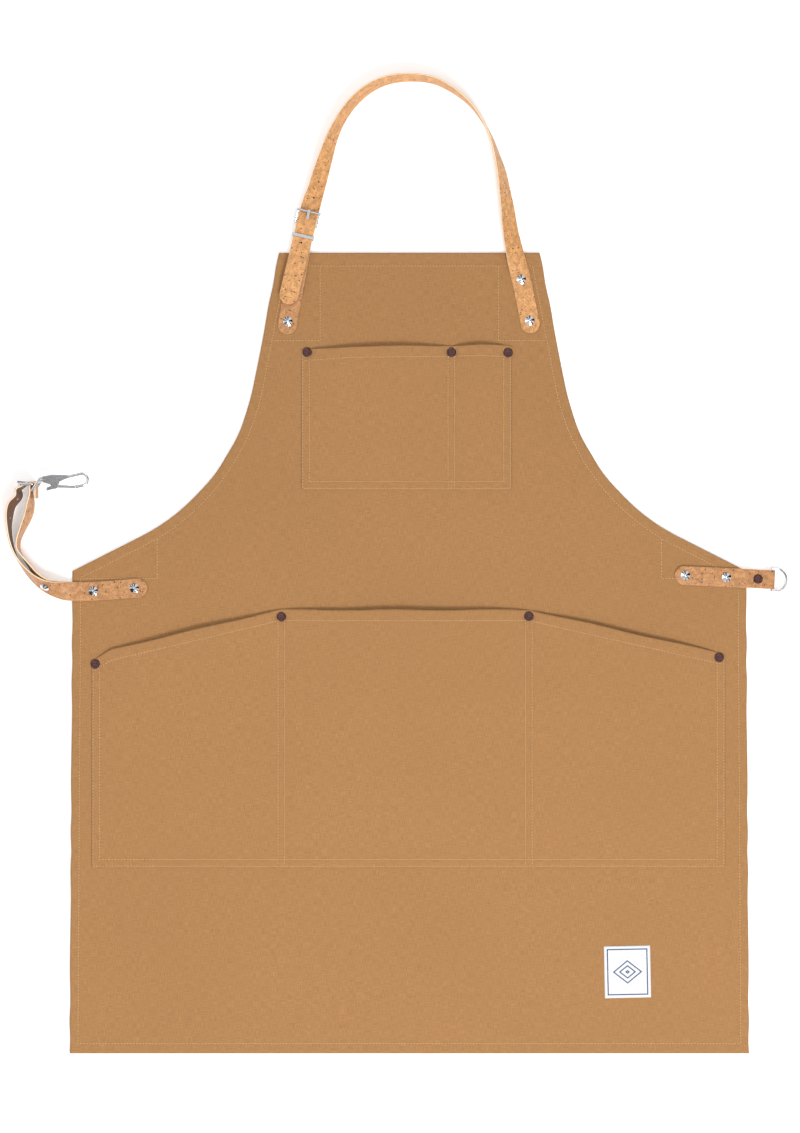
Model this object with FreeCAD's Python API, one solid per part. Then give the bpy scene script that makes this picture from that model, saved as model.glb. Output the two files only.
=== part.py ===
import FreeCAD, Part
import math
import os
from FreeCAD import Vector as V

# A cross-back style work apron, laid flat on its back face. Millimetres.
# The layout frame has its middle at the middle of the canvas panel: X towards the D-ring's
# side, Y up towards the bib, Z away from the floor. All is moved at the end so that the
# origin is the bottom centre of the whole apron's box.

# ---- canvas panel ----
PANEL_LENGTH = 848.0      # hem to bib top
HEM_WIDTH = 720.0         # across the bottom hem
SIDE_WIDTH = 714.0        # across the two waist corners
BIB_WIDTH = 277.0         # across the bib's top
SIDE_HEIGHT = 511.0       # bottom hem to waist corner
ARMHOLE_FLARE = 10.85     # degrees, bib side from upright
ARMHOLE_FALL = 26.95      # degrees, waist side below level
ARMHOLE_RADIUS = 226.0
CANVAS = 0.7              # one layer of cloth
HEM = 11.0                # width of the turned hem
BOTTOM_HEM = 13.0         # rolled bottom hem, thick enough to lie on the floor
PATCH_GAP = 0.6           # between a patch and the turned hem

# ---- straps ----
STRAP_WIDTH = 20.0
STRAP_THICK = 2.2
SKIVED = 1.5              # strap thinned where it lies behind the canvas
LAYER_GAP = 0.1           # between two layers of a folded strap
BELT_GAP = 0.5            # between the two pieces of the waist strap
TAIL_GAP = 1.0            # loose tail over the strap below it
FLOOR_GAP = 0.15          # under a strap that stands on its edge
SEAT_GAP = 0.03           # under a rivet's head

# ---- pockets ----
POCKET_GAPE = 5.5         # how far a pocket stands off the panel
POCKET_SLOPE = 22.0       # run over which it rises to that
POCKET_SEAM = 12.0        # stitched border
BIB_POCKET_WIDTH = 223.0
BIB_POCKET_DEPTH = 148.0
BIB_POCKET_X = -3.0       # middle of the bib pocket
BIB_POCKET_DROP = 103.0   # bib top down to the top edge's left corner
PEN_WIDTH = 64.0
WAIST_POCKET_WIDTH = 671.0
WAIST_POCKET_DEPTH = 273.0
WAIST_POCKET_DROP = 41.0  # waist corner down to the middle room's top edge
WAIST_SIDE_DROP = 83.0    # waist corner down to a side room's top edge
SIDE_POCKET_WIDTH = 201.0
LABEL_WIDTH = 49.0
LABEL_HEIGHT = 55.0
LABEL_THICK = 0.5
LABEL_FROM_SIDE = 129.0
LABEL_FROM_HEM = 86.5
LABEL_TURN = 1.2

# ---- metal ----
WIRE = 2.5                # wire of the buckles, D-ring and eye
BAR_GAP = 0.4             # strap or eye round a bar
RING_CLEAR = 0.8          # strap edge to a ring's side
FRAME_REACH = 13.0        # heel bar to front bar
FRAME_RISE = 5.0
FRONT_BAR = 2.8
PRONG_WIDTH = 2.6
PRONG_THICK = 2.0
SLOT_CLEAR = 0.5
CAP_RADIUS = 5.0
CAP_HEIGHT = 3.0
FLANGE = 0.6
POST_RADIUS = 1.5
BACK_RADIUS = 4.5
BACK_THICK = 0.7
KEEPER_WIDTH = 3.0
KEEPER_THICK = 1.1
KEEPER_UNDER = 0.45       # free height inside the keeper, below the folded strap
KEEPER_OVER = 0.6         # and above the tail
KEEPER_FROM_KINK = 3.0
D_REACH = 16.0
HOOK_WIRE = 3.3
HOOK_LENGTH = 42.4
HOOK_RADIUS = 6.2
PIN_RADIUS = 0.9
PIN_CLEAR = 0.3           # gate and spring on the pin
COLLAR_RADIUS = 2.1       # where the hook's wire meets the gate
COLLAR_LENGTH = 2.6
STUD_HEAD_RADIUS = 2.3
STUD_HEAD_THICK = 1.2
KNUCKLE_RADIUS = 2.6
KNUCKLE_THICK = 1.5
SPRING_RADIUS = 2.1
SPRING_THICK = 1.1

# ---- levels, from the floor up ----
PATCH_LEVEL = SKIVED
CANVAS_LEVEL = PATCH_LEVEL + CANVAS
FACE = CANVAS_LEVEL + CANVAS
HALF_LENGTH = PANEL_LENGTH / 2
WAIST_Y = SIDE_HEIGHT - HALF_LENGTH
BIB_POCKET_TOP = HALF_LENGTH - BIB_POCKET_DROP
WAIST_POCKET_TOP = WAIST_Y - WAIST_POCKET_DROP
WAIST_POCKET_SIDE_TOP = WAIST_Y - WAIST_SIDE_DROP
WAIST_POCKET_BOTTOM = WAIST_POCKET_TOP - WAIST_POCKET_DEPTH
FOLD_RADIUS = WIRE / 2 + BAR_GAP + STRAP_THICK / 2
BAR_LEVEL = 5.8           # neck buckle's heel bar
BELT_LEVEL = 15.2         # middle of the waist buckle, standing on its side
UP = V(0, 0, 1)
TALL = 60.0
LENGTH_STEPS = 10         # sections lofted at a time along a strap

parts = {}


# ================= small helpers =================

def turned(angle):
    """Unit direction in the plan, degrees from +X."""
    a = math.radians(angle)
    return V(math.cos(a), math.sin(a), 0)


def prism(points, low, height):
    """Straight-sided slab on an outline given as (x, y) pairs."""
    corners = [V(x, y, low) for x, y in points]
    return Part.Face(Part.makePolygon(corners + corners[:1])).extrude(V(0, 0, height))


def offset_outline(points, insets):
    """Outline moved in by its own amount on each edge; edge i runs from point i to i + 1.
    The points go anticlockwise."""
    n = len(points)
    lines = []
    for i in range(n):
        p = V(points[i][0], points[i][1], 0)
        q = V(points[(i + 1) % n][0], points[(i + 1) % n][1], 0)
        d = (q - p).normalize()
        inward = V(-d.y, d.x, 0)
        lines.append((p + inward * insets[i], d))
    result = []
    for i in range(n):
        p, d = lines[i - 1]
        q, e = lines[i]
        cross = d.x * e.y - d.y * e.x
        s = ((q.x - p.x) * e.y - (q.y - p.y) * e.x) / cross
        result.append((p.x + d.x * s, p.y + d.y * s))
    return result


def loft(low_points, low, high_points, high):
    """Solid between two outlines with the same number of corners."""
    wires = []
    for points, z in ((low_points, low), (high_points, high)):
        corners = [V(x, y, z) for x, y in points]
        wires.append(Part.makePolygon(corners + corners[:1]))
    return Part.makeLoft(wires, True, True)


def rod(start, end, radius):
    d = end - start
    return Part.makeCylinder(radius, d.Length, start, d)


def wire_run(points, radius):
    """Round wire along straight runs with ball corners."""
    solid = None
    for i in range(len(points) - 1):
        piece = rod(points[i], points[i + 1], radius)
        if i:
            piece = piece.fuse(Part.makeSphere(radius, points[i]))
        solid = piece if solid is None else solid.fuse(piece)
    return solid.removeSplitter()


def bridge(a, b, base_direction, width, height):
    """Bar of rectangular section from a to b, height along base_direction."""
    d = (b - a).normalize()
    side = d.cross(base_direction).normalize() * (width / 2)
    up = base_direction * (height / 2)
    c = [a + side + up, a + side - up, a - side - up, a - side + up]
    return Part.Face(Part.makePolygon(c + c[:1])).extrude(b - a)


def ribbon(points, across, thicks, width=STRAP_WIDTH):
    """Strap of rectangular section along points, with its width along across at each. It is
    lofted in lengths of LENGTH_STEPS sections, which are then joined."""
    wires = []
    last = len(points) - 1
    for i, p in enumerate(points):
        t = (points[min(i + 1, last)] - points[max(i - 1, 0)]).normalize()
        w = across[i] - t * across[i].dot(t)
        w = w.normalize() * (width / 2)
        n = t.cross(w).normalize() * (thicks[i] / 2)
        c = [p + w + n, p - w + n, p - w - n, p + w - n]
        wires.append(Part.makePolygon(c + c[:1]))
    lengths = []
    for start in range(0, last, LENGTH_STEPS):
        lengths.append(Part.makeLoft(wires[start:start + LENGTH_STEPS + 1], True, True))
    if len(lengths) == 1:
        return lengths[0]
    return lengths[0].multiFuse(lengths[1:])


def smooth_route(route, count):
    """Spline in plan through (x, y, z, twist) stations, count steps a span; height and twist
    go in even steps."""
    spots = [V(x, y, 0) for x, y, z, twist in route]
    curve = Part.BSplineCurve()
    curve.interpolate(spots)
    knots = [curve.parameter(p) for p in spots]
    result = []
    for i in range(len(route) - 1):
        for k in range(count):
            f = k / count
            u = knots[i] + (knots[i + 1] - knots[i]) * f
            height = route[i][2] + (route[i + 1][2] - route[i][2]) * f
            twist = route[i][3] + (route[i + 1][3] - route[i][3]) * f
            result.append((curve.value(u) + UP * height, curve.tangent(u)[0], twist))
    end = curve.LastParameter
    result.append((curve.value(end) + UP * route[-1][2], curve.tangent(end)[0], route[-1][3]))
    return result


def standing_height(twist, base=0.0):
    """Height of a strap's middle when its lower edge is on a surface at base."""
    a = math.radians(twist)
    rise = STRAP_WIDTH / 2 * abs(math.sin(a)) + STRAP_THICK / 2 * abs(math.cos(a))
    return base + rise + FLOOR_GAP


def twisted_ribbon(stations, hand):
    """Strap whose width leans from the plan by each station's twist; hand is 1 where the
    width starts on the left of the way along, -1 on its right."""
    points = []
    across = []
    for p, t, twist in stations:
        level = V(t.x, t.y, 0).normalize()
        side = V(-level.y, level.x, 0) * hand
        a = math.radians(twist)
        points.append(p)
        across.append(side * math.cos(a) + UP * math.sin(a))
    return ribbon(points, across, [STRAP_THICK] * len(points))


def round_tip(solid, tip, heading, radius=STRAP_WIDTH / 2):
    """Cut a flat strap's square end to a half round; heading points out of the end."""
    side = V(-heading.y, heading.x, 0) * (radius + 1)
    back = tip - heading * radius
    front = tip + heading * 2
    corners = [back + side, back - side, front - side, front + side]
    points = [(c.x, c.y) for c in corners]
    block = prism(points, -TALL, 2 * TALL)
    disc = Part.makeCylinder(radius, 2 * TALL, V(back.x, back.y, -TALL))
    return solid.cut(block.cut(disc))


def fold_arc(centre, start, axis, radius, turn, steps=8):
    """Points of a bend about a bar: from centre + start * radius, turning about axis."""
    rotation = FreeCAD.Rotation(axis, turn / steps)
    arm = V(start)
    result = []
    for _ in range(steps + 1):
        result.append(centre + arm * radius)
        arm = rotation.multVec(arm)
    return result


def slot_box(centre, along, across, normal, low, high, depth_low, depth_high, half_width):
    """Box in a local frame: low..high along, half_width to each side, depth along normal."""
    a = centre + along * low - across * half_width + normal * depth_low
    b = along * (high - low)
    c = across * (2 * half_width)
    d = normal * (depth_high - depth_low)
    corners = [a, a + b, a + b + c, a + c]
    return Part.Face(Part.makePolygon(corners + corners[:1])).extrude(d)


# ================= canvas panel, patches and label =================

def panel_outline():
    """Corners of the panel, anticlockwise from the lower left, with the armhole vertex."""
    bib = V(BIB_WIDTH / 2, HALF_LENGTH, 0)
    side = V(SIDE_WIDTH / 2, WAIST_Y, 0)
    flare = math.radians(ARMHOLE_FLARE)
    fall = math.radians(ARMHOLE_FALL)
    down = V(math.sin(flare), -math.cos(flare), 0)
    rise = V(-math.cos(fall), math.sin(fall), 0)
    gap = side - bib
    s = (gap.x * rise.y - gap.y * rise.x) / (down.x * rise.y - down.y * rise.x)
    vertex = bib + down * s
    right = [(HEM_WIDTH / 2, -HALF_LENGTH), (side.x, side.y), (vertex.x, vertex.y), (bib.x, bib.y)]
    left = [(-x, y) for x, y in reversed(right)]
    return right + left


def panel_slab(inset, low, height):
    """Panel outline, moved in by inset, with its two armhole arcs."""
    points = panel_outline()
    points = offset_outline(points, [inset] * len(points))
    corners = [V(x, y, low) for x, y in points]
    arc_turn = math.radians(90 - ARMHOLE_FLARE - ARMHOLE_FALL)
    tangent = (ARMHOLE_RADIUS + inset) * math.tan(arc_turn / 2)
    edges = []
    start = corners[0]
    for i in range(1, len(corners) + 1):
        p = corners[i % len(corners)]
        if i in (2, 5):
            before = (corners[i - 1] - p).normalize()
            after = (corners[i + 1] - p).normalize()
            bisector = (before + after).normalize()
            centre = p + bisector * ((ARMHOLE_RADIUS + inset) / math.cos(arc_turn / 2))
            middle = centre - bisector * (ARMHOLE_RADIUS + inset)
            edges.append(Part.LineSegment(start, p + before * tangent).toShape())
            edges.append(Part.Arc(p + before * tangent, middle, p + after * tangent).toShape())
            start = p + after * tangent
        else:
            edges.append(Part.LineSegment(start, p).toShape())
            start = p
    return Part.Face(Part.Wire(edges)).extrude(V(0, 0, height))


def canvas_panel():
    """Cloth with its hem turned once to the back."""
    cloth = panel_slab(0, CANVAS_LEVEL, CANVAS)
    hem = panel_slab(0, PATCH_LEVEL, CANVAS).cut(panel_slab(HEM, PATCH_LEVEL - 1, CANVAS + 2))
    low, high = -HALF_LENGTH, -HALF_LENGTH + BOTTOM_HEM
    half = HEM_WIDTH / 2 + 1
    band = prism([(-half, low), (half, low), (half, high), (-half, high)], 0, CANVAS_LEVEL)
    roll = band.common(panel_slab(0, -1, TALL))
    return cloth.fuse(hem).fuse(roll).removeSplitter()


def corner_patch(points):
    """Second layer behind a strap corner, inside the turned hem."""
    block = prism(points, PATCH_LEVEL, CANVAS)
    return block.common(panel_slab(HEM + PATCH_GAP, PATCH_LEVEL - 1, CANVAS + 2))


def patches():
    bib_half = BIB_WIDTH / 2
    side_half = SIDE_WIDTH / 2
    bib_low = HALF_LENGTH - 93
    for name, sign in (("left", -1), ("right", 1)):
        bib = [(sign * (bib_half - 44), bib_low), (sign * (bib_half + 30), bib_low),
               (sign * (bib_half + 30), HALF_LENGTH), (sign * (bib_half - 44), HALF_LENGTH)]
        parts["bib_patch_" + name] = corner_patch(bib)
        waist = [(sign * (side_half - 94), WAIST_Y - 11), (sign * side_half, WAIST_Y - 11),
                 (sign * side_half, WAIST_Y + 60), (sign * (side_half - 94), WAIST_Y + 60)]
        parts["waist_patch_" + name] = corner_patch(waist)


def woven_label():
    x = HEM_WIDTH / 2 - LABEL_FROM_SIDE
    y = -HALF_LENGTH + LABEL_FROM_HEM
    box = Part.makeBox(LABEL_WIDTH, LABEL_HEIGHT, LABEL_THICK,
                       V(x - LABEL_WIDTH / 2, y - LABEL_HEIGHT / 2, FACE))
    return box.rotate(V(x, y, 0), UP, LABEL_TURN)


# ================= pockets =================

def pocket(outline, rooms):
    """Cloth pocket: a stitched border and divider, and one raised room for each stretch.
    A room is (corners anticlockwise, insets of its edges, how far each edge slopes in)."""
    body = prism(outline, FACE, CANVAS)
    for corners, insets, slopes in rooms:
        low = offset_outline(corners, insets)
        high = offset_outline(corners, [a + b for a, b in zip(insets, slopes)])
        body = body.fuse(loft(low, FACE + CANVAS, high, FACE + CANVAS + POCKET_GAPE))
    body = body.common(prism(outline, FACE, TALL))
    for corners, insets, slopes in rooms:
        low = offset_outline(corners, insets)
        high = offset_outline(corners, [a + b for a, b in zip(insets, slopes)])
        body = body.cut(loft(low, FACE, high, FACE + POCKET_GAPE))
    return body.removeSplitter()


def bib_pocket():
    left = BIB_POCKET_X - BIB_POCKET_WIDTH / 2
    right = left + BIB_POCKET_WIDTH
    divider = right - PEN_WIDTH
    top = BIB_POCKET_TOP
    bottom = top - BIB_POCKET_DEPTH
    outline = [(left, bottom), (right, bottom), (right, top + 4), (left, top)]
    seam = POCKET_SEAM
    mouth = -20.0
    slope = POCKET_SLOPE
    main = [(left, bottom), (divider, bottom), (divider, top + 3), (left, top)]
    pen = [(divider, bottom), (right, bottom), (right, top + 4), (divider, top + 3)]
    return pocket(outline, [
        (main, [seam, seam / 2, mouth, seam], [slope, slope, 0, slope]),
        (pen, [seam, seam, mouth, seam / 2], [slope, slope / 2, 0, slope / 2])])


def waist_pocket():
    half = WAIST_POCKET_WIDTH / 2
    left = -half - 1
    right = half - 1
    bottom = WAIST_POCKET_BOTTOM
    top = WAIST_POCKET_TOP
    side_top = WAIST_POCKET_SIDE_TOP
    room_left = left + SIDE_POCKET_WIDTH
    room_right = right - SIDE_POCKET_WIDTH - 7
    clip = 21.0
    outline = [(left, bottom), (right, bottom), (right, side_top - 5), (room_right, top),
               (room_left, top), (left + clip, side_top), (left, side_top - 13)]
    seam = POCKET_SEAM
    slope = POCKET_SLOPE
    mouth = -20.0
    first = [(left, bottom), (room_left, bottom), (room_left, top), (left + clip, side_top),
             (left, side_top - 10)]
    middle = [(room_left, bottom), (room_right, bottom), (room_right, top), (room_left, top)]
    last = [(room_right, bottom), (right, bottom), (right, side_top - 5), (room_right, top)]
    return pocket(outline, [
        (first, [seam, seam / 2, mouth, mouth, seam], [slope, slope, 0, 0, slope]),
        (middle, [seam, seam / 2, mouth, seam / 2], [slope, slope, 0, slope]),
        (last, [seam, seam, mouth, seam / 2], [slope, slope, 0, slope])])


# ================= rivets =================

def cone_cap(spot, normal):
    """Spun cone head with a thin flange, seated on spot."""
    profile = [V(0, 0, 0), V(CAP_RADIUS, 0, 0), V(CAP_RADIUS, 0, FLANGE),
               V(CAP_RADIUS - 0.6, 0, FLANGE + 0.3), V(1.0, 0, CAP_HEIGHT - 0.25), V(0, 0, CAP_HEIGHT)]
    head = Part.Face(Part.makePolygon(profile + profile[:1])).revolve(V(0, 0, 0), UP, 360)
    return placed(head, spot, normal)


def copper_head(spot, normal):
    """Dished copper head with a raised rim."""
    rim = CAP_RADIUS
    profile = [V(0, 0, 0), V(rim, 0, 0), V(rim, 0, 0.5), V(rim - 0.7, 0, 1.0), V(rim - 1.4, 0, 1.0),
               V(rim - 2.0, 0, 0.6), V(0, 0, 0.6)]
    head = Part.Face(Part.makePolygon(profile + profile[:1])).revolve(V(0, 0, 0), UP, 360)
    return placed(head, spot, normal)


def placed(shape, spot, normal):
    shape = shape.copy()
    shape.Placement = FreeCAD.Placement(spot, FreeCAD.Rotation(UP, normal))
    return shape


def post(spot, normal, depth):
    """Post from the head's seat down through depth of cloth and strap, with its back disc
    under that."""
    shank = Part.makeCylinder(POST_RADIUS, depth, V(0, 0, -depth))
    disc = Part.makeCylinder(BACK_RADIUS, BACK_THICK, V(0, 0, -depth - BACK_THICK))
    return placed(shank.fuse(disc), spot, normal)


class Rivets:
    """Heads and posts of one kind; each post is bored through what it holds."""

    def __init__(self):
        self.heads = []
        self.posts = []

    def add(self, head, spot, normal, depth, held):
        self.heads.append(head(spot, normal))
        shank = post(spot, normal, depth)
        self.posts.append(shank)
        for name in held:
            parts[name] = parts[name].cut(shank)


# ================= neck strap and its buckle =================

NECK_BAR = V(-109.0 * BIB_WIDTH / 277.0, HALF_LENGTH + 29.7, BAR_LEVEL)
NECK_HEADING = 76.2       # degrees from +X, up the strap at the buckle
KINK = 18.0               # where the short strap turns a little
SHORT_HEADING = 79.8
SHORT_LENGTH = 118.0      # heel bar to the short strap's end
RETURN_LENGTH = 66.0      # heel bar to the end of the turned-back layer


def neck_spot(x, y):
    """Place on the neck strap, from the middle of the bib's top edge, for any bib width."""
    return x * BIB_WIDTH / 277.0, HALF_LENGTH + y


def short_spot(distance, height):
    """Point of the short strap's middle line, distance down from the heel bar."""
    u = turned(NECK_HEADING)
    if distance <= KINK:
        spot = NECK_BAR - u * distance
    else:
        spot = NECK_BAR - u * KINK - turned(SHORT_HEADING) * (distance - KINK)
    return V(spot.x, spot.y, BAR_LEVEL + height)


def neck_buckle_strap():
    """Short strap: its end is turned back under itself round the buckle's heel bar."""
    on_canvas = FACE - BAR_LEVEL + STRAP_THICK / 2
    above = on_canvas + STRAP_THICK + LAYER_GAP
    under = [(RETURN_LENGTH, on_canvas), (50, on_canvas), (27.5, on_canvas), (18.5, -FOLD_RADIUS),
             (12, -FOLD_RADIUS), (6, -FOLD_RADIUS)]
    over = [(3, FOLD_RADIUS - 0.4), (8, 0.9), (KINK, above), (34, above), (50, above),
            (RETURN_LENGTH, above), (75, on_canvas), (90, on_canvas), (SHORT_LENGTH, on_canvas)]
    u = turned(NECK_HEADING)
    side = V(-u.y, u.x, 0)
    bend = fold_arc(NECK_BAR, V(0, 0, -1), side, FOLD_RADIUS, -180)
    points = [short_spot(d, h) for d, h in under] + bend + [short_spot(d, h) for d, h in over]
    headings = [d > KINK for d, h in under] + [False] * len(bend) + [d > KINK for d, h in over]
    lower = turned(SHORT_HEADING)
    lower_side = V(-lower.y, lower.x, 0)
    across = [lower_side if late else side for late in headings]
    strap = ribbon(points, across, [STRAP_THICK] * len(points))
    return round_tip(strap, short_spot(SHORT_LENGTH, 0), lower * -1)


def neck_route():
    """Stations (x, y, z, twist) of the long neck strap, from its tail end to its fixed end."""
    u = turned(NECK_HEADING)
    tail = []
    above = FACE + 2 * STRAP_THICK + LAYER_GAP + TAIL_GAP + STRAP_THICK / 2
    for d, z in ((-87, above - STRAP_THICK), (-76, above - STRAP_THICK + 0.6), (-64, above),
                 (-48, above), (-34, above), (-22, above), (-9, above + 0.3),
                 (-3, BAR_LEVEL + 5.2), (0, BAR_LEVEL + 5.4), (4, BAR_LEVEL + 4.7),
                 (8.5, BAR_LEVEL + 3.0), (13, BAR_LEVEL + 1.9), (17.5, BAR_LEVEL + 1.2)):
        spot = NECK_BAR + u * d
        tail.append((spot.x, spot.y, z, 0.0 if d < 16 else 6.0))
    arch = [(-99.5, 64, 30), (-94, 83, 36), (-88.5, 101, 46), (-83, 118, 56), (-75, 136, 64),
            (-62.5, 155, 67), (-44, 172, 70), (-24, 181.5, 74), (0, 184.5, 77), (25, 181.5, 81),
            (47, 170.5, 85), (64.5, 156, 90), (77, 139, 94), (86, 122, 99), (92, 104, 107),
            (97, 86, 118), (100.5, 66, 127), (103.8, 45, 137), (106.5, 24, 145)]
    route = tail
    for x, y, twist in arch:
        sx, sy = neck_spot(x, y)
        base = max(0.0, FACE * (1 - max(y - 6, 0) / 30.0))
        route.append((sx, sy, standing_height(twist, base), twist))
    for x, y, twist in ((110.5, 4, 155), (113.3, -8.5, 167), (116.4, -20.5, 180), (122.9, -50, 180),
                        (127.4, -72.1, 180), (129.9, -85.0, 180)):
        sx, sy = neck_spot(x, y)
        z = FACE + 0.05 + STRAP_THICK / 2
        if twist < 180:
            z = standing_height(twist, FACE)
        route.append((sx, sy, z, twist))
    return route


def neck_strap():
    route = neck_route()
    strap = twisted_ribbon(smooth_route(route, 3), 1)
    strap = round_tip(strap, V(*route[0][:3]), turned(NECK_HEADING) * -1)
    x, y, z, twist = route[-1]
    x0, y0, z0, twist0 = route[-2]
    strap = round_tip(strap, V(x, y, z), V(x - x0, y - y0, 0).normalize())
    hole = NECK_BAR - turned(NECK_HEADING) * 20.5
    strap = strap.cut(Part.makeCylinder(1.1, TALL, V(hole.x, hole.y, 0)))
    return strap


def buckle_frame(heel, along, across, normal):
    """Wire rectangle: heel bar, two sides that rise, and a stouter front bar."""
    half = STRAP_WIDTH / 2 + RING_CLEAR + WIRE / 2
    front = heel + along * FRAME_REACH + normal * FRAME_RISE
    a = heel + across * half
    b = front + across * half
    c = front - across * half
    d = heel - across * half
    frame = wire_run([a, b], WIRE / 2).fuse(wire_run([c, d], WIRE / 2))
    frame = frame.fuse(rod(d, a, WIRE / 2)).fuse(rod(c, b, FRONT_BAR / 2))
    for corner in (a, d):
        frame = frame.fuse(Part.makeSphere(WIRE / 2, corner))
    for corner in (b, c):
        frame = frame.fuse(Part.makeSphere(FRONT_BAR / 2, corner))
    return frame.removeSplitter()


def buckle_prong(heel, along, across, normal):
    """Prong with an eye round the heel bar; its tip rests just over the front bar."""
    half = PRONG_WIDTH / 2
    outer = WIRE / 2 + BAR_GAP + 1.1
    eye = Part.makeCylinder(outer, PRONG_WIDTH, heel - across * half, across)
    root = heel + normal * (outer - PRONG_THICK / 2) + along * 0.2
    rest = FRAME_RISE + FRONT_BAR / 2 + BAR_GAP + PRONG_THICK / 2
    tip = heel + along * (FRAME_REACH + 1.8) + normal * (rest + 1.2)
    blade = bridge(root, tip, across, PRONG_THICK, PRONG_WIDTH)
    bore = Part.makeCylinder(WIRE / 2 + BAR_GAP, PRONG_WIDTH + 2, heel - across * (half + 1), across)
    return eye.fuse(blade).cut(bore).removeSplitter()


def prong_slots(heel, along, across, normal, own, mate):
    """Oblong slots that the prong passes through: in its own fold and in the other strap."""
    half = PRONG_WIDTH / 2 + SLOT_CLEAR
    parts[own] = parts[own].cut(slot_box(heel, along, across, normal, -4.6, 5.5, -4.6, 4.6, half))
    parts[mate] = parts[mate].cut(slot_box(heel, along, across, normal, 0.8, 10.8, -4, 12, half))


def neck_keeper():
    """Flat metal band round the short strap and the tail."""
    u = turned(NECK_HEADING)
    side = V(-u.y, u.x, 0)
    low = -FOLD_RADIUS - STRAP_THICK / 2 - KEEPER_UNDER
    tail_top = FACE - BAR_LEVEL + 2 * STRAP_THICK + LAYER_GAP + TAIL_GAP + STRAP_THICK
    high = tail_top + KEEPER_OVER
    half = STRAP_WIDTH / 2 + RING_CLEAR
    start = NECK_BAR - u * (KINK - KEEPER_FROM_KINK)
    t = KEEPER_THICK
    outer = slot_box(start, u, side, UP, 0, KEEPER_WIDTH, low - t, high + t, half + t)
    inner = slot_box(start, u, side, UP, -1, KEEPER_WIDTH + 1, low, high, half)
    return outer.cut(inner)


def neck_group():
    parts["neck_buckle_strap"] = neck_buckle_strap()
    parts["neck_strap"] = neck_strap()
    u = turned(NECK_HEADING)
    side = V(-u.y, u.x, 0)
    prong_slots(NECK_BAR, u, side, UP, "neck_buckle_strap", "neck_strap")
    parts["neck_buckle_frame"] = buckle_frame(NECK_BAR, u, side, UP)
    parts["neck_buckle_prong"] = buckle_prong(NECK_BAR, u, side, UP)
    parts["neck_keeper"] = neck_keeper()


# ================= waist strap, its buckle and the snap hook =================

CORNER = V(-SIDE_WIDTH / 2, WAIST_Y, 0)
BELT_BAR = CORNER + V(-39.2, 91.1, BELT_LEVEL)
BELT_ALONG = turned(201.2)        # from the heel bar towards the front bar
BELT_NORMAL = turned(111.2)


def front_route():
    """Outer piece of the waist strap, from the canvas to its holed end at the buckle."""
    flat = FACE + STRAP_THICK / 2
    route = [(79.4, -17.6, flat, 0), (66, -18.3, flat, 0), (50, -19.5, flat, 0),
             (33, -20.8, flat, 0), (15, -21.6, flat, 0), (6, -21.7, flat, 0),
             (-3, -21.5, standing_height(9, FACE), 9)]
    for x, y, twist in ((-12, -20.4, 28), (-21.5, -18.2, 45), (-30.5, -14.4, 58),
                        (-41, -6.8, 70), (-52, 5.5, 80), (-60, 19, 86), (-64, 32, 90),
                        (-65.6, 46, 94), (-65, 60, 104), (-61, 72, 112), (-55, 81, 104)):
        lift = 4.5 * max(0.0, (y - 32) / 50.0)
        lift += (STRAP_THICK + BELT_GAP) * max(0.0, math.cos(math.radians(twist)))
        route.append((x, y, standing_height(twist) + lift, twist))
    result = [(CORNER.x + x, CORNER.y + y, z, twist) for x, y, z, twist in route]
    for d, n in ((17.0, 0.9), (13.0, 1.9), (8.5, 3.1), (5.2, 4.2)):
        spot = BELT_BAR + BELT_ALONG * d + BELT_NORMAL * n
        result.append((spot.x, spot.y, BELT_LEVEL, 90))
    return result


def waist_strap_front():
    stations = smooth_route(front_route(), 3)
    strap = twisted_ribbon(stations, -1)
    strap = round_tip(strap, stations[0][0], V(1, 0, 0))
    for index in (-18, -25):
        p, t, twist = stations[index]
        side = V(t.y, -t.x, 0).normalize()
        a = math.radians(twist)
        normal = t.cross(side * math.cos(a) + UP * math.sin(a)).normalize()
        strap = strap.cut(Part.makeCylinder(1.1, 12, p - normal * 6, normal))
    return strap


def back_route():
    """Inner piece: behind the canvas, then inside the front piece up to the buckle."""
    low = SKIVED / 2
    route = [(76, -17.8, low, 0), (60, -18.8, low, 0), (40, -20.4, low, 0), (22, -21.4, low, 0),
             (-0.4, -21.6, low, 0), (-3.5, -21.5, 1.6, 0), (-7.5, -20.7, standing_height(18, 0.2), 18)]
    return [(CORNER.x + x, CORNER.y + y, z, twist) for x, y, z, twist in route]


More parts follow.
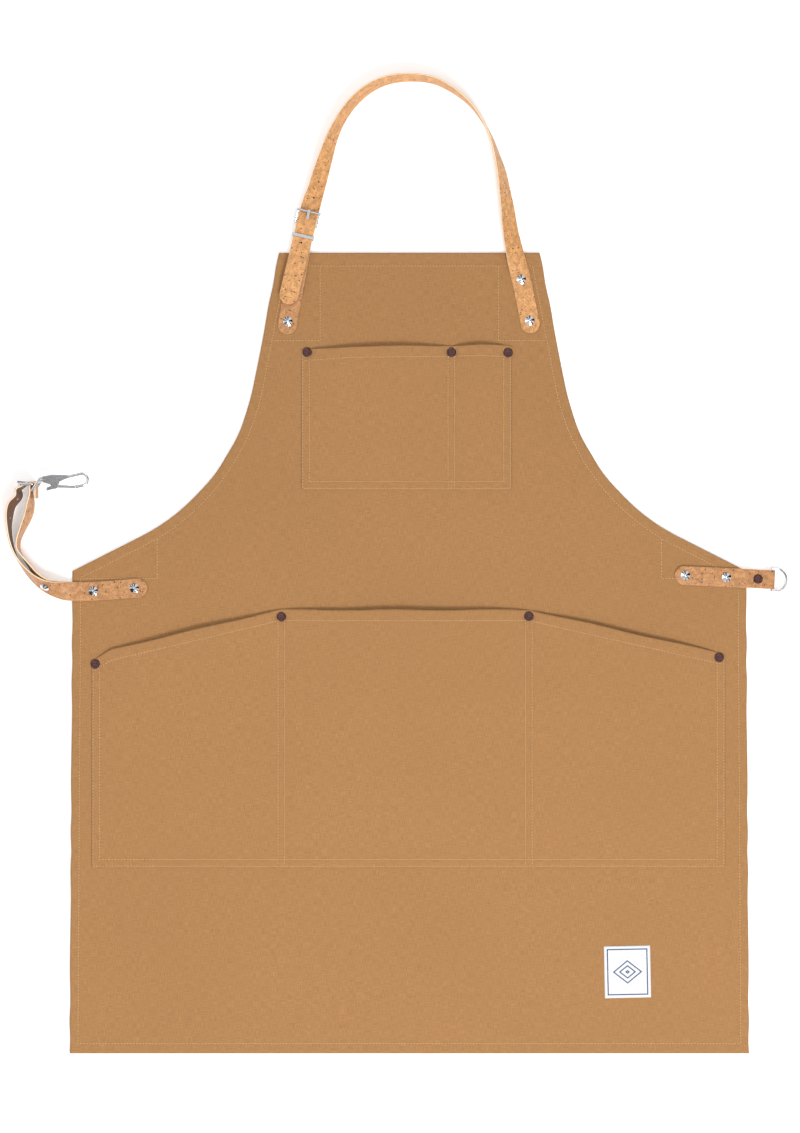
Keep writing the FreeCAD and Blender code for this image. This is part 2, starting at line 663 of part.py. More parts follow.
def waist_strap_back():
    """Skived under the canvas, full thickness beyond it, folded round the buckle's bar."""
    outer = smooth_route(front_route(), 3)
    thicks = []
    points = []
    across = []
    for x, y, z, twist in back_route():
        points.append(V(x, y, z))
        across.append(V(0, math.cos(math.radians(twist)), math.sin(math.radians(twist))))
        thicks.append(SKIVED)
    # beside the front piece: the same line, one thickness further in
    edge = CORNER.x - 11
    for p, t, twist in outer[::2]:
        if p.x < edge and p.y < CORNER.y + 2:
            level = V(t.x, t.y, 0).normalize()
            side = V(level.y, -level.x, 0)
            a = math.radians(twist)
            w = side * math.cos(a) + UP * math.sin(a)
            n = w.cross(t).normalize()
            gap = STRAP_THICK + BELT_GAP + 2.6 * max(0.0, (CORNER.x - 28 - p.x) / 16.0)
            spot = p - n * gap
            spot.z = max(spot.z, standing_height(twist, FLOOR_GAP))
            points.append(spot)
            across.append(w)
            thicks.append(STRAP_THICK)
    for x, y, twist in ((-56.5, 26, 92), (-53.2, 40, 97), (-48.3, 51, 104), (-44.2, 62, 108),
                        (-42.6, 72, 103), (-42.1, 78.5, 95), (-41.95, 84, 90)):
        lift = 4.7 * max(0.0, (y - 26) / 55.0)
        points.append(V(CORNER.x + x, CORNER.y + y, standing_height(twist) + lift))
        a = math.radians(twist)
        across.append(V(math.cos(a), -0.12 * math.cos(a), math.sin(a)))
        thicks.append(STRAP_THICK)
    bend = fold_arc(BELT_BAR, V(-1, 0, 0), UP, FOLD_RADIUS, -180)
    down = [BELT_BAR + V(FOLD_RADIUS, y, 0) for y in (-4, -9, -14.5)]
    points += bend + down
    across += [UP] * (len(bend) + len(down))
    thicks += [STRAP_THICK] * (len(bend) + len(down))
    return ribbon(points, across, thicks)


EYE_BAR = BELT_BAR + V(0, -5.6, 0)
SWIVEL = BELT_BAR + V(7.6, 5.4, 0)
HOOK_TILT = 7.0
HOOK_U = turned(HOOK_TILT)
HOOK_V = turned(HOOK_TILT + 90)
BOSS_HALF = 1.6
BOSS_RADIUS = 3.0
STUD_RADIUS = 1.6
STUD_GAP = 0.35


def hook_point(u, v, z=0.0):
    return SWIVEL + HOOK_U * u + HOOK_V * v + UP * z


def hook_swivel_eye():
    """Upright wire loop through the strap's fold, with a bored boss for the hook's stud."""
    half = STRAP_WIDTH / 2 + RING_CLEAR + WIRE / 2
    a = EYE_BAR + UP * half
    d = EYE_BAR - UP * half
    b = SWIVEL + UP * half
    c = SWIVEL - UP * half
    loop = wire_run([d, a, b, c], WIRE / 2).fuse(wire_run([c, d], WIRE / 2))
    for corner in (c, d):
        loop = loop.fuse(Part.makeSphere(WIRE / 2, corner))
    boss = Part.makeCylinder(BOSS_RADIUS, 2 * BOSS_HALF, hook_point(-BOSS_HALF, 0), HOOK_U)
    bore = Part.makeCylinder(STUD_RADIUS + STUD_GAP, 12, hook_point(-6, 0), HOOK_U)
    return loop.fuse(boss).cut(bore).removeSplitter()


def hook_outline(points, low, height):
    """Slab whose outline is in the hook's own (u, v) plane."""
    corners = [hook_point(u, v, low) for u, v in points]
    return Part.Face(Part.makePolygon(corners + corners[:1])).extrude(V(0, 0, height))


PIVOT = (13.9, -9.0)
LUG = 3.0
GATE_WIRE = 3.2
FORK_HALF = 1.8
BASE_HALF = 3.2


def hook_body():
    """Stud, forked base and the bent hook wire that ends in a collared nose."""
    slope = turned(HOOK_TILT + 6)
    lean = turned(HOOK_TILT + 96)
    start = hook_point(10.0, -2.6)
    end = start + slope * (HOOK_LENGTH - 10.0)
    centre = end - lean * HOOK_RADIUS
    tip = centre + slope * HOOK_RADIUS
    turn_end = centre - lean * HOOK_RADIUS
    nose = turn_end - slope * 8.0
    path = Part.Wire([Part.LineSegment(start, end).toShape(), Part.Arc(end, tip, turn_end).toShape(),
                      Part.LineSegment(turn_end, nose).toShape()])
    section = Part.Wire(Part.Circle(start, slope, HOOK_WIRE / 2).toShape())
    wire = path.makePipeShell([section], True, True)
    collar = Part.makeCylinder(COLLAR_RADIUS, COLLAR_LENGTH, nose, slope)
    base = hook_outline([(2.0, -3.4), (9.5, -6.6), (11.4, -11.0), (16.4, -10.8), (18.5, -5.0),
                         (29.0, -1.9), (29.0, 0.9), (13.0, 3.3), (2.0, 2.6)],
                        -BASE_HALF, 2 * BASE_HALF)
    taper = hook_outline([(17.0, -7.0), (30.0, -7.0), (30.0, 5.0), (17.0, 5.0)], 2.0, 4)
    lower_taper = taper.copy()
    lower_taper.translate(V(0, 0, -8))
    fork = Part.makeCylinder(LUG + 4.0, 2 * FORK_HALF, hook_point(*PIVOT, -FORK_HALF), UP)
    fork = fork.common(hook_outline([(4, -4.2), (4, -16), (24, -16), (24, -4.6)], -4, 8))
    base = base.cut(fork).cut(taper).cut(lower_taper)
    pin_hole = Part.makeCylinder(PIN_RADIUS, 10, hook_point(*PIVOT, -5), UP)
    stud = Part.makeCylinder(STUD_RADIUS, BOSS_HALF + STUD_GAP + 2.0,
                             hook_point(-BOSS_HALF - STUD_GAP, 0), HOOK_U)
    head = Part.makeCylinder(STUD_HEAD_RADIUS, STUD_HEAD_THICK,
                             hook_point(-BOSS_HALF - STUD_GAP - STUD_HEAD_THICK, 0), HOOK_U)
    body = base.fuse(wire).fuse(collar).fuse(stud).fuse(head)
    return body.cut(pin_hole).removeSplitter(), nose


def hook_gate(nose):
    """Straight sprung gate with a knuckle on the pin and a thumb tab."""
    pivot = hook_point(*PIVOT)
    direction = (nose - pivot).normalize()
    reach = (nose - pivot).Length - 0.5
    bar = rod(pivot + direction * 2.0, pivot + direction * reach, GATE_WIRE / 2)
    knuckle = Part.makeCylinder(KNUCKLE_RADIUS, KNUCKLE_THICK, pivot - UP * KNUCKLE_THICK, UP)
    tab = hook_outline([(4.6, -12.6), (12.6, -11.4), (13.9, -8.6), (11.8, -7.6), (5.2, -9.4)], -1.5, 3.0)
    bore = Part.makeCylinder(PIN_RADIUS + PIN_CLEAR, 8, pivot - UP * 4, UP)
    spring_room = Part.makeCylinder(KNUCKLE_RADIUS + 0.1, 2.0, pivot, UP)
    gate = bar.fuse(tab).cut(spring_room).fuse(knuckle).cut(bore)
    return gate.removeSplitter()


def hook_group():
    body, nose = hook_body()
    parts["hook_body"] = body
    parts["hook_gate"] = hook_gate(nose)
    parts["hook_gate_pin"] = Part.makeCylinder(PIN_RADIUS, 2 * BASE_HALF,
                                               hook_point(*PIVOT, -BASE_HALF), UP)
    spring_foot = hook_point(*PIVOT, PIN_CLEAR)
    ring = Part.makeCylinder(SPRING_RADIUS, SPRING_THICK, spring_foot, UP)
    bore = Part.makeCylinder(PIN_RADIUS, SPRING_THICK, spring_foot, UP)
    parts["hook_gate_spring"] = ring.cut(bore)
    parts["hook_swivel_eye"] = hook_swivel_eye()


def waist_group():
    parts["waist_strap_front"] = waist_strap_front()
    parts["waist_strap_back"] = waist_strap_back()
    prong_slots(BELT_BAR, BELT_ALONG, UP, BELT_NORMAL, "waist_strap_back", "waist_strap_front")
    parts["waist_buckle_frame"] = buckle_frame(BELT_BAR, BELT_ALONG, UP, BELT_NORMAL)
    parts["waist_buckle_prong"] = buckle_prong(BELT_BAR, BELT_ALONG, UP, BELT_NORMAL)
    hook_group()


# ================= D-ring and its strap =================

RING_CORNER = V(SIDE_WIDTH / 2, WAIST_Y, 0)
RING_HEADING = -2.8
RING_U = turned(RING_HEADING)
RING_SIDE = V(-RING_U.y, RING_U.x, 0)
RING_TIP = RING_CORNER + V(-75.9, -4.2, 0)
RING_REACH = 102.4        # from the strap's round end to the ring's bar
RING_BAR_LEVEL = SKIVED + BAR_GAP + WIRE / 2


def ring_spot(distance, height):
    spot = RING_TIP + RING_U * distance
    return V(spot.x, spot.y, height)


def ring_strap():
    """One strap folded round the D-ring's bar: a layer on the canvas and one behind it."""
    bar = ring_spot(RING_REACH, RING_BAR_LEVEL)
    low_radius = WIRE / 2 + BAR_GAP + SKIVED / 2
    under = [(4.0, SKIVED / 2), (60.0, SKIVED / 2), (RING_REACH - 4, SKIVED / 2)]
    over_canvas = FACE + STRAP_THICK / 2
    close = SKIVED + 0.2 + STRAP_THICK / 2
    over = [(RING_REACH - 3.5, RING_BAR_LEVEL + FOLD_RADIUS - 0.4),
            (RING_REACH - 8.8, close), (RING_REACH - 14, close), (RING_REACH - 19.8, close),
            (RING_REACH - 25.2, over_canvas), (40.0, over_canvas), (0.0, over_canvas)]
    bend = []
    thicks = [SKIVED] * len(under)
    steps = 8
    for k in range(steps + 1):
        a = math.radians(-90 + 180 * k / steps)
        radius = low_radius + (FOLD_RADIUS - low_radius) * k / steps
        bend.append(bar + RING_U * (radius * math.cos(a)) + UP * (radius * math.sin(a)))
        thicks.append(SKIVED + (STRAP_THICK - SKIVED) * k / steps)
    thicks += [STRAP_THICK] * len(over)
    points = [ring_spot(d, h) for d, h in under] + bend + [ring_spot(d, h) for d, h in over]
    strap = ribbon(points, [RING_SIDE] * len(points), thicks)
    return round_tip(strap, ring_spot(0, 0), RING_U * -1)


def d_ring():
    """Straight bar and a half-round bow that lies out from it."""
    bar = ring_spot(RING_REACH, RING_BAR_LEVEL)
    half = STRAP_WIDTH / 2 + RING_CLEAR + WIRE / 2
    a = bar + RING_SIDE * half
    d = bar - RING_SIDE * half
    reach = D_REACH - half
    b = a + RING_U * reach
    c = d + RING_U * reach
    ring = wire_run([b, a, d, c], WIRE / 2)
    bow = Part.Wire(Part.Arc(b, bar + RING_U * D_REACH, c).toShape())
    section = Part.Wire(Part.Circle(b, RING_U, WIRE / 2).toShape())
    return ring.fuse(bow.makePipeShell([section], True, True)).removeSplitter()


# ================= fixing it all together =================

def rivet_everything():
    cone = Rivets()
    copper = Rivets()
    top = FACE + STRAP_THICK + SEAT_GAP
    for x, y in ((118.4, -28.6), (127.4, -72.1)):
        sx, sy = neck_spot(x, y)
        cone.add(cone_cap, V(sx, sy, top + 0.1), UP, top + 0.1 - PATCH_LEVEL,
                 ["neck_strap", "canvas_panel", "bib_patch_right"])
    foot = short_spot(104.5, 0)
    cone.add(cone_cap, V(foot.x, foot.y, top), UP, top - PATCH_LEVEL,
             ["neck_buckle_strap", "canvas_panel", "bib_patch_left"])
    for x, y in ((66.0, -18.3), (22.6, -21.3)):
        cone.add(cone_cap, CORNER + V(x, y, top), UP, top - BACK_THICK,
                 ["waist_strap_front", "canvas_panel", "waist_patch_left", "waist_strap_back"])
    for distance in (11.0, 54.5):
        cone.add(cone_cap, ring_spot(distance, top), UP, top - BACK_THICK,
                 ["ring_strap", "canvas_panel", "waist_patch_right"])
    near = [spot for spot in smooth_route(front_route(), 3) if spot[0].y < CORNER.y]
    p, t, twist = min(near, key=lambda spot: abs(spot[0].x - CORNER.x + 27.5))
    level = V(t.x, t.y, 0).normalize()
    a = math.radians(twist)
    normal = (V(level.y, -level.x, 0) * math.cos(a) + UP * math.sin(a)).cross(t).normalize()
    cone.add(cone_cap, p + normal * (STRAP_THICK / 2 + BELT_GAP), normal, 2 * STRAP_THICK + 2 * BELT_GAP,
             ["waist_strap_front", "waist_strap_back"])
    parts["cone_rivet_caps"] = Part.makeCompound(cone.heads)
    parts["cone_rivet_posts"] = Part.makeCompound(cone.posts)

    left = BIB_POCKET_X - BIB_POCKET_WIDTH / 2
    right = left + BIB_POCKET_WIDTH
    seat = FACE + CANVAS + SEAT_GAP
    for x, y in ((left + 6.3, -2.5), (right - PEN_WIDTH, -2.5), (right - 4, -3.0)):
        copper.add(copper_head, V(x, BIB_POCKET_TOP + y, seat), UP, 2 * CANVAS,
                   ["bib_pocket", "canvas_panel"])
    half = WAIST_POCKET_WIDTH / 2
    for x, y in ((-half + 3, WAIST_POCKET_SIDE_TOP - 15.5),
                 (-half - 1 + SIDE_POCKET_WIDTH, WAIST_POCKET_TOP - 7.5),
                 (half - 8 - SIDE_POCKET_WIDTH, WAIST_POCKET_TOP - 7.0),
                 (half - 7.5, WAIST_POCKET_SIDE_TOP - 8.5)):
        copper.add(copper_head, V(x, y, seat), UP, 2 * CANVAS, ["waist_pocket", "canvas_panel"])
    close_top = SKIVED + 0.2 + STRAP_THICK + SEAT_GAP
    copper.add(copper_head, ring_spot(RING_REACH - 14.3, close_top), UP, close_top - BACK_THICK,
               ["ring_strap"])
    fold = short_spot(60, FACE - BAR_LEVEL + 2 * STRAP_THICK + LAYER_GAP + SEAT_GAP)
    copper.posts.append(post(fold, UP, fold.z - PATCH_LEVEL))
    for name in ("neck_buckle_strap", "canvas_panel", "bib_patch_left"):
        parts[name] = parts[name].cut(copper.posts[-1])
    parts["fold_rivet_cap"] = Part.makeCylinder(4.0, 0.6, fold, UP)
    parts["copper_rivet_heads"] = Part.makeCompound(copper.heads)
    parts["copper_rivet_posts"] = Part.makeCompound(copper.posts)


def build():
    parts["canvas_panel"] = canvas_panel()
    patches()
    parts["woven_label"] = woven_label()
    parts["bib_pocket"] = bib_pocket()
    parts["waist_pocket"] = waist_pocket()
    neck_group()
    waist_group()
    parts["ring_strap"] = ring_strap()
    parts["d_ring"] = d_ring()
    rivet_everything()


def write():
    """Move the whole apron so that the origin is the bottom centre of its box, and save it."""
    whole = FreeCAD.BoundBox()
    for shape in parts.values():
        whole.add(shape.BoundBox)
    shift = V(-(whole.XMin + whole.XMax) / 2, -(whole.YMin + whole.YMax) / 2, -whole.ZMin)
    print("box", whole)
    print("shift", shift)
    for label, spot in (("neck bar", NECK_BAR), ("belt bar", BELT_BAR), ("eye bar", EYE_BAR),
                        ("swivel", SWIVEL), ("gate pivot", hook_point(*PIVOT)),
                        ("ring bar", ring_spot(RING_REACH, RING_BAR_LEVEL))):
        print(label, spot + shift)
    os.makedirs("parts", exist_ok=True)
    for name, shape in parts.items():
        shape = shape.copy()
        shape.translate(shift)
        print(name, "valid" if shape.isValid() else "INVALID", len(shape.Solids), round(shape.Volume, 1))
        shape.exportStep("parts/" + name + ".step")


build()
write()
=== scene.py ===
import math

import bpy
import numpy as np
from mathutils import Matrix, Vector


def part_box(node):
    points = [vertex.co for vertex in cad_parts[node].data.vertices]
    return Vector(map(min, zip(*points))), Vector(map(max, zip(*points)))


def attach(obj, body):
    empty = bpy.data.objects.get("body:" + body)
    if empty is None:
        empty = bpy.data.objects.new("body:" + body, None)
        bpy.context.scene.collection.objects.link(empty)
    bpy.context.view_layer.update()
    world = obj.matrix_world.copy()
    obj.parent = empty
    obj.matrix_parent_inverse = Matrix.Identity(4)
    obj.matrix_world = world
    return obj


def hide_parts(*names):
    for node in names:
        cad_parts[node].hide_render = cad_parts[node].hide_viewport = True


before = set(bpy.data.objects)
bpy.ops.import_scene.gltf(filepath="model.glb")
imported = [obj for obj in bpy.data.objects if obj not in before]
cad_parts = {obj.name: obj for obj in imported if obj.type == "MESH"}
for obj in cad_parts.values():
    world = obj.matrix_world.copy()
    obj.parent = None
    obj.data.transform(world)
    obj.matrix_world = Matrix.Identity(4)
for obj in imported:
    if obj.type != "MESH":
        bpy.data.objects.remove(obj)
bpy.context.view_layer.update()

bl_info = {
    "name": "Canvas work apron",
    "version": (1, 0, 0),
    "blender": (4, 5, 0),
    "location": "View3D > Sidebar > Apron",
    "description": "Cloth, straps, stitching and finishes of a canvas work apron laid flat",
    "category": "Object",
}

MM = 0.001

# ---- where the layout's middle lies in the frame ----
PANEL_LOW, PANEL_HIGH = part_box("canvas_panel")
MID_X = (PANEL_LOW.x + PANEL_HIGH.x) / 2
HEM_Y = PANEL_LOW.y
LENGTH = PANEL_HIGH.y - PANEL_LOW.y
HALF_LENGTH = LENGTH / 2
FACE = PANEL_HIGH.z
MID_Y = HEM_Y + HALF_LENGTH

# ---- the cut of the panel ----
HEM_HALF = (PANEL_HIGH.x - PANEL_LOW.x) / 2
SIDE_HALF = HEM_HALF - 3 * MM
BIB_HALF = 138.5 * MM
WAIST_Y = 87 * MM
ARMHOLE_FLARE = math.radians(10.85)
ARMHOLE_FALL = math.radians(26.95)
ARMHOLE_RADIUS = 226 * MM
CLOTH = 0.7 * MM

# ---- straps ----
STRAP_WIDTH = 20 * MM
STRAP_THICK = 2.2 * MM
SKIVED = 1.5 * MM
FLOOR_GAP = 0.15 * MM
BELT_GAP = 0.5 * MM
LAYER_GAP = 0.1 * MM
TAIL_GAP = 1.0 * MM
WIRE = 2.5 * MM
BAR_GAP = 0.4 * MM
FOLD_RADIUS = WIRE / 2 + BAR_GAP + STRAP_THICK / 2
BAR_LEVEL = 5.8 * MM
BELT_LEVEL = 15.2 * MM
NECK_HEADING = 76.2
SHORT_HEADING = 79.8
KINK = 18 * MM
SHORT_LENGTH = 118 * MM
RETURN_LENGTH = 66 * MM
UP = np.array([0.0, 0.0, 1.0])


# ---- cloth relief and edges ----
EDGE_WANDER = 0.35 * MM
HEM_WIDTH = 11 * MM
HEM_ROW = 10.3 * MM
HEM_ROUNDING = 0.30 * MM
HEM_SINK = 0.28 * MM
HEM_GROOVE = 0.26 * MM
INNER_STEP = 0.16 * MM
PUCKER = 0.10 * MM
POCKET_ROUNDING = 0.55 * MM
POCKET_SINK = 0.5 * MM
POCKET_GROOVE = 0.22 * MM
DIVIDER_GROOVE = 0.3 * MM
DIVIDER_RIDGE = 0.18 * MM
MOUTH_GROOVE = 0.25 * MM
MOUTH_HEM = 0.30 * MM
RIVET_DIMPLE = 0.35 * MM
FINE_BAND = 20 * MM
STITCH_LINES = {"side": 9 * MM, "bottom": 10.5 * MM, "top": 14 * MM, "armhole": 10.5 * MM}
POCKET_ROWS = (1.6 * MM, 8.6 * MM)
DIVIDER_ROWS = (-3.5, 3.5)
MOUTH_ROW = 11.5 * MM
PRESSED_RADIUS = 4.6 * MM
PRESSED_FADE = 5 * MM
LABEL_HALF = (24.5 * MM, 27.5 * MM)
LABEL_TURN = math.radians(1.2)
EDGE_PAINT = 0.12 * MM
BACK_SHIFT = 0.05

# ---- stage: name, place, size and power of each lamp ----
LAMPS = (("key", (0.7, -1.8, 2.3), 1.1, 60), ("fill", (-1.9, 0.5, 2.6), 2.4, 18),
         ("top", (0.4, 1.7, 2.8), 1.8, 12))
CAMERA_LENS = 85
CAMERA_SENSOR = 36
CAMERA_HEIGHT = 1.201 * CAMERA_LENS / CAMERA_SENSOR
FLOOR_HALF = 6.0


# ================= settings =================

class ApronCloth(bpy.types.PropertyGroup):
    colour: bpy.props.FloatVectorProperty(
        name="Canvas colour", description="Middle colour of the canvas", subtype="COLOR",
        default=(0.388, 0.194, 0.070), min=0, max=1)
    thread: bpy.props.FloatVectorProperty(
        name="Thread colour", description="Colour of the sewing thread", subtype="COLOR",
        default=(0.62, 0.40, 0.20), min=0, max=1)
    pitch: bpy.props.FloatProperty(
        name="Stitch pitch", description="Distance from stitch to stitch", subtype="DISTANCE",
        default=3.3 * MM, min=1.5 * MM, max=8 * MM)
    stitch_radius: bpy.props.FloatProperty(
        name="Thread radius", description="Half the thickness of a stitch", subtype="DISTANCE",
        default=0.40 * MM, min=0.1 * MM, max=1 * MM)
    ripple: bpy.props.FloatProperty(
        name="Ripple", description="How far the laid cloth rises and falls", subtype="DISTANCE",
        default=0.35 * MM, min=0, max=2 * MM)
    gape: bpy.props.FloatProperty(
        name="Pocket gape", description="How far a pocket's mouth stands open", subtype="DISTANCE",
        default=4.6 * MM, min=0, max=5 * MM)


class ApronStraps(bpy.types.PropertyGroup):
    light: bpy.props.FloatVectorProperty(
        name="Neck cork", description="Cork face of the neck strap", subtype="COLOR",
        default=(0.66, 0.33, 0.125), min=0, max=1)
    tan: bpy.props.FloatVectorProperty(
        name="Waist cork", description="Cork face of the waist straps", subtype="COLOR",
        default=(0.52, 0.25, 0.10), min=0, max=1)
    lining: bpy.props.FloatVectorProperty(
        name="Lining", description="Brown inner face of the waist strap", subtype="COLOR",
        default=(0.16, 0.068, 0.03), min=0, max=1)
    edge: bpy.props.FloatVectorProperty(
        name="Edge paint", description="Pale painted edge of a strap", subtype="COLOR",
        default=(0.93, 0.72, 0.50), min=0, max=1)


class ApronMetal(bpy.types.PropertyGroup):
    chrome: bpy.props.FloatVectorProperty(
        name="Chrome", description="Polished plating", subtype="COLOR",
        default=(0.78, 0.78, 0.80), min=0, max=1)
    copper: bpy.props.FloatVectorProperty(
        name="Copper", description="Dark copper rivets", subtype="COLOR",
        default=(0.115, 0.068, 0.070), min=0, max=1)


# ================= shader maths =================

class Value:
    """A shader socket that carries a number; arithmetic on it adds Math nodes."""

    def __init__(self, tree, socket):
        self.tree = tree
        self.socket = socket

    def _math(self, operation, a, b=None):
        inputs = {0: a} if b is None else {0: a, 1: b}
        return self.tree.node("ShaderNodeMath", {"operation": operation}, inputs)

    def __add__(self, other):
        return self._math("ADD", self, other)

    __radd__ = __add__

    def __sub__(self, other):
        return self._math("SUBTRACT", self, other)

    def __rsub__(self, other):
        return self._math("SUBTRACT", other, self)

    def __mul__(self, other):
        return self._math("MULTIPLY", self, other)

    __rmul__ = __mul__

    def above(self, low, high):
        """0 below low, 1 above high, smooth between."""
        return self.tree.node("ShaderNodeMapRange", {"interpolation_type": "SMOOTHSTEP"},
                              {"Value": self, "From Min": low, "From Max": high})


def scaled(colour, factor):
    """A colour made darker or lighter, and no brighter than 1."""
    return tuple(min(1.0, c * factor) for c in colour)


class Finish:
    """A new material and its node tree, with one method that adds any node."""

    def __init__(self, name):
        self.material = bpy.data.materials.new(name)
        self.material.use_nodes = True
        self.nodes = self.material.node_tree.nodes
        self.links = self.material.node_tree.links
        self.shader = self.nodes["Principled BSDF"]

    def set(self, node, key, value):
        socket = node.inputs[key]
        if isinstance(value, Value):
            self.links.new(value.socket, socket)
        elif isinstance(value, (tuple, list)) and len(value) == 3 and socket.type == "RGBA":
            socket.default_value = (*value, 1)
        else:
            socket.default_value = value

    def node(self, kind, settings=None, inputs=None, output=0):
        node = self.nodes.new(kind)
        for key, value in (settings or {}).items():
            setattr(node, key, value)
        for key, value in (inputs or {}).items():
            self.set(node, key, value)
        return Value(self, node.outputs[output])

    def mix(self, factor, a, b):
        node = self.nodes.new("ShaderNodeMix")
        node.data_type = "RGBA"
        self.set(node, 0, factor)
        self.set(node, 6, a)
        self.set(node, 7, b)
        return Value(self, node.outputs[2])

    def place(self):
        return self.node("ShaderNodeTexCoord", output=3)

    def uv(self):
        return self.node("ShaderNodeTexCoord", output=2)

    def attribute(self, name):
        return self.node("ShaderNodeAttribute", {"attribute_name": name}, output=2)

    def stretched(self, vector, scale):
        return self.node("ShaderNodeMapping", {}, {"Vector": vector, "Scale": scale})

    def noise(self, vector, scale, detail=3.0, rough=0.55):
        return self.node("ShaderNodeTexNoise", {},
                         {"Vector": vector, "Scale": scale, "Detail": detail, "Roughness": rough})

    def flecks(self, vector, scale, share):
        """1 in a small dot at the middle of some cells: those whose own number is over share."""
        node = self.nodes.new("ShaderNodeTexVoronoi")
        self.set(node, "Vector", vector)
        self.set(node, "Scale", scale)
        number = self.nodes.new("ShaderNodeSeparateColor")
        self.links.new(node.outputs["Color"], number.inputs[0])
        near = 1 - Value(self, node.outputs["Distance"]).above(0.16, 0.30)
        return near * Value(self, number.outputs[0]).above(share, share + 0.08)

    def bump(self, height, distance):
        return self.node("ShaderNodeBump", {}, {"Height": height, "Distance": distance,
                                                "Strength": 1.0})

    def shade(self, **sockets):
        for key, value in sockets.items():
            self.set(self.shader, key.replace("_", " "), value)
        return self.material


def canvas_finish(name, colour, lift=1.0):
    """Heavy plain weave: crossing threads in relief, slubs along both ways, faint mottling."""
    f = Finish(name)
    place = f.place()
    warp = f.noise(f.stretched(place, (2200, 130, 1)), 1.0, 2.0)
    weft = f.noise(f.stretched(place, (110, 2200, 1)), 1.0, 2.0)
    mottle = f.noise(place, 28.0, 5.0, 0.6)
    cloud = f.noise(place, 5.0, 2.0)
    slub = (warp + weft) * 0.5
    base = scaled(colour, lift)
    dark = scaled(base, 0.80)
    light = scaled(base, 1.20)
    tone = f.mix(slub.above(0.36, 0.64), dark, light)
    tone = f.mix(mottle.above(0.35, 0.7) * 0.30, tone, base)
    tone = f.mix(cloud.above(0.3, 0.7) * 0.22, tone, scaled(base, 0.86))
    x_threads = f.node("ShaderNodeTexWave", {"bands_direction": "X"},
                       {"Vector": place, "Scale": 300.0, "Distortion": 0.6}, 1)
    y_threads = f.node("ShaderNodeTexWave", {"bands_direction": "Y"},
                       {"Vector": place, "Scale": 300.0, "Distortion": 0.6}, 1)
    height = (x_threads + y_threads) * 0.35 + slub * 0.8
    return f.shade(Base_Color=tone, Roughness=0.88, Normal=f.bump(height, 0.35 * MM),
                   Sheen_Weight=0.15, Sheen_Roughness=0.6, Specular_IOR_Level=0.25)


def thread_finish(colour):
    """Twisted thread, with painted shade in its furrows and painted light on its ridges."""
    f = Finish("sewing_thread")
    twist = f.noise(f.place(), 2500.0, 1.0)
    # painted shade and light: darker where the bump noise dents the thread, lighter where it rises
    tone = f.mix(twist.above(0.35, 0.65), scaled(colour, 0.8),
                 scaled(colour, 1.2))
    return f.shade(Base_Color=tone, Roughness=0.62, Normal=f.bump(twist, 0.1 * MM))


def cork_finish(name, cork, edge, back=None):
    """Cork veneer: soft blotches, dark flecks of three sizes and pale grains; the painted
    edge is paler. With a back colour, the strap's inner face is a plain brown lining."""
    f = Finish(name)
    uv = f.uv()
    side = f.attribute("side")
    warped = f.stretched(uv, (1.0, 1.35, 1))
    blotch = f.noise(warped, 150.0, 4.0, 0.65)
    grain = f.noise(warped, 520.0, 3.0, 0.6)
    fine = f.noise(warped, 1300.0, 2.0, 0.5)
    tone = f.mix(blotch.above(0.36, 0.66), scaled(cork, 0.78),
                 scaled(cork, 1.18))
    tone = f.mix(fine.above(0.52, 0.72) * 0.40, tone, (cork[0] * 0.62, cork[1] * 0.5, cork[2] * 0.4))
    for scale, share in ((230.0, 0.50), (430.0, 0.62), (800.0, 0.55)):
        tone = f.mix(f.flecks(f.stretched(uv, (1.75, 1.0, 1)), scale, share), tone,
                     (cork[0] * 0.17, cork[1] * 0.12, cork[2] * 0.11))
    tone = f.mix(f.flecks(f.stretched(uv, (1.0, 1.6, 1)), 300.0, 0.72) * 0.5, tone,
                 scaled(cork, 1.35))
    face = side.above(0.35, 0.75)
    if back is None:
        face = face + (1 - side).above(1.35, 1.75)
        shell = f.mix(face, edge, tone)
    else:
        hide = f.mix(grain.above(0.4, 0.65), scaled(back, 0.75),
                     scaled(back, 1.35))
        shell = f.mix(face, edge, tone)
        shell = f.mix((1 - side).above(1.6, 1.9), shell, hide)
    rough = grain * 0.2 + 0.36
    return f.shade(Base_Color=shell, Roughness=rough, Normal=f.bump(grain, 0.22 * MM),
                   Specular_IOR_Level=0.45)


def plain_finish(name, colour):
    """Matt finish for the disc that shows a punched hole; the near-black one is painted shade inside the
    hole.
    """
    f = Finish(name)
    speck = f.noise(f.place(), 3000.0, 1.0)
    return f.shade(Base_Color=f.mix(speck.above(0.3, 0.7), scaled(colour, 0.85), colour),
                   Roughness=0.85)


def chrome_finish(name, colour):
    """Polished plating with a faint haze."""
    f = Finish(name)
    haze = f.noise(f.place(), 500.0, 3.0)
    tone = f.mix(haze.above(0.3, 0.7), scaled(colour, 0.92), colour)
    return f.shade(Base_Color=tone, Metallic=1.0, Roughness=haze * 0.10 + 0.07,
                   Normal=f.bump(haze, 0.02 * MM))


def copper_finish(colour):
    """Dark copper, dull where its patina is thick."""
    f = Finish("dark_copper")
    patina = f.noise(f.place(), 900.0, 4.0, 0.6)
    tone = f.mix(patina.above(0.35, 0.7), scaled(colour, 0.6),
                 (colour[0] * 2.1, colour[1] * 1.7, colour[2] * 1.6))
    return f.shade(Base_Color=tone, Metallic=1.0, Roughness=patina * 0.25 + 0.25,
                   Normal=f.bump(patina, 0.08 * MM))


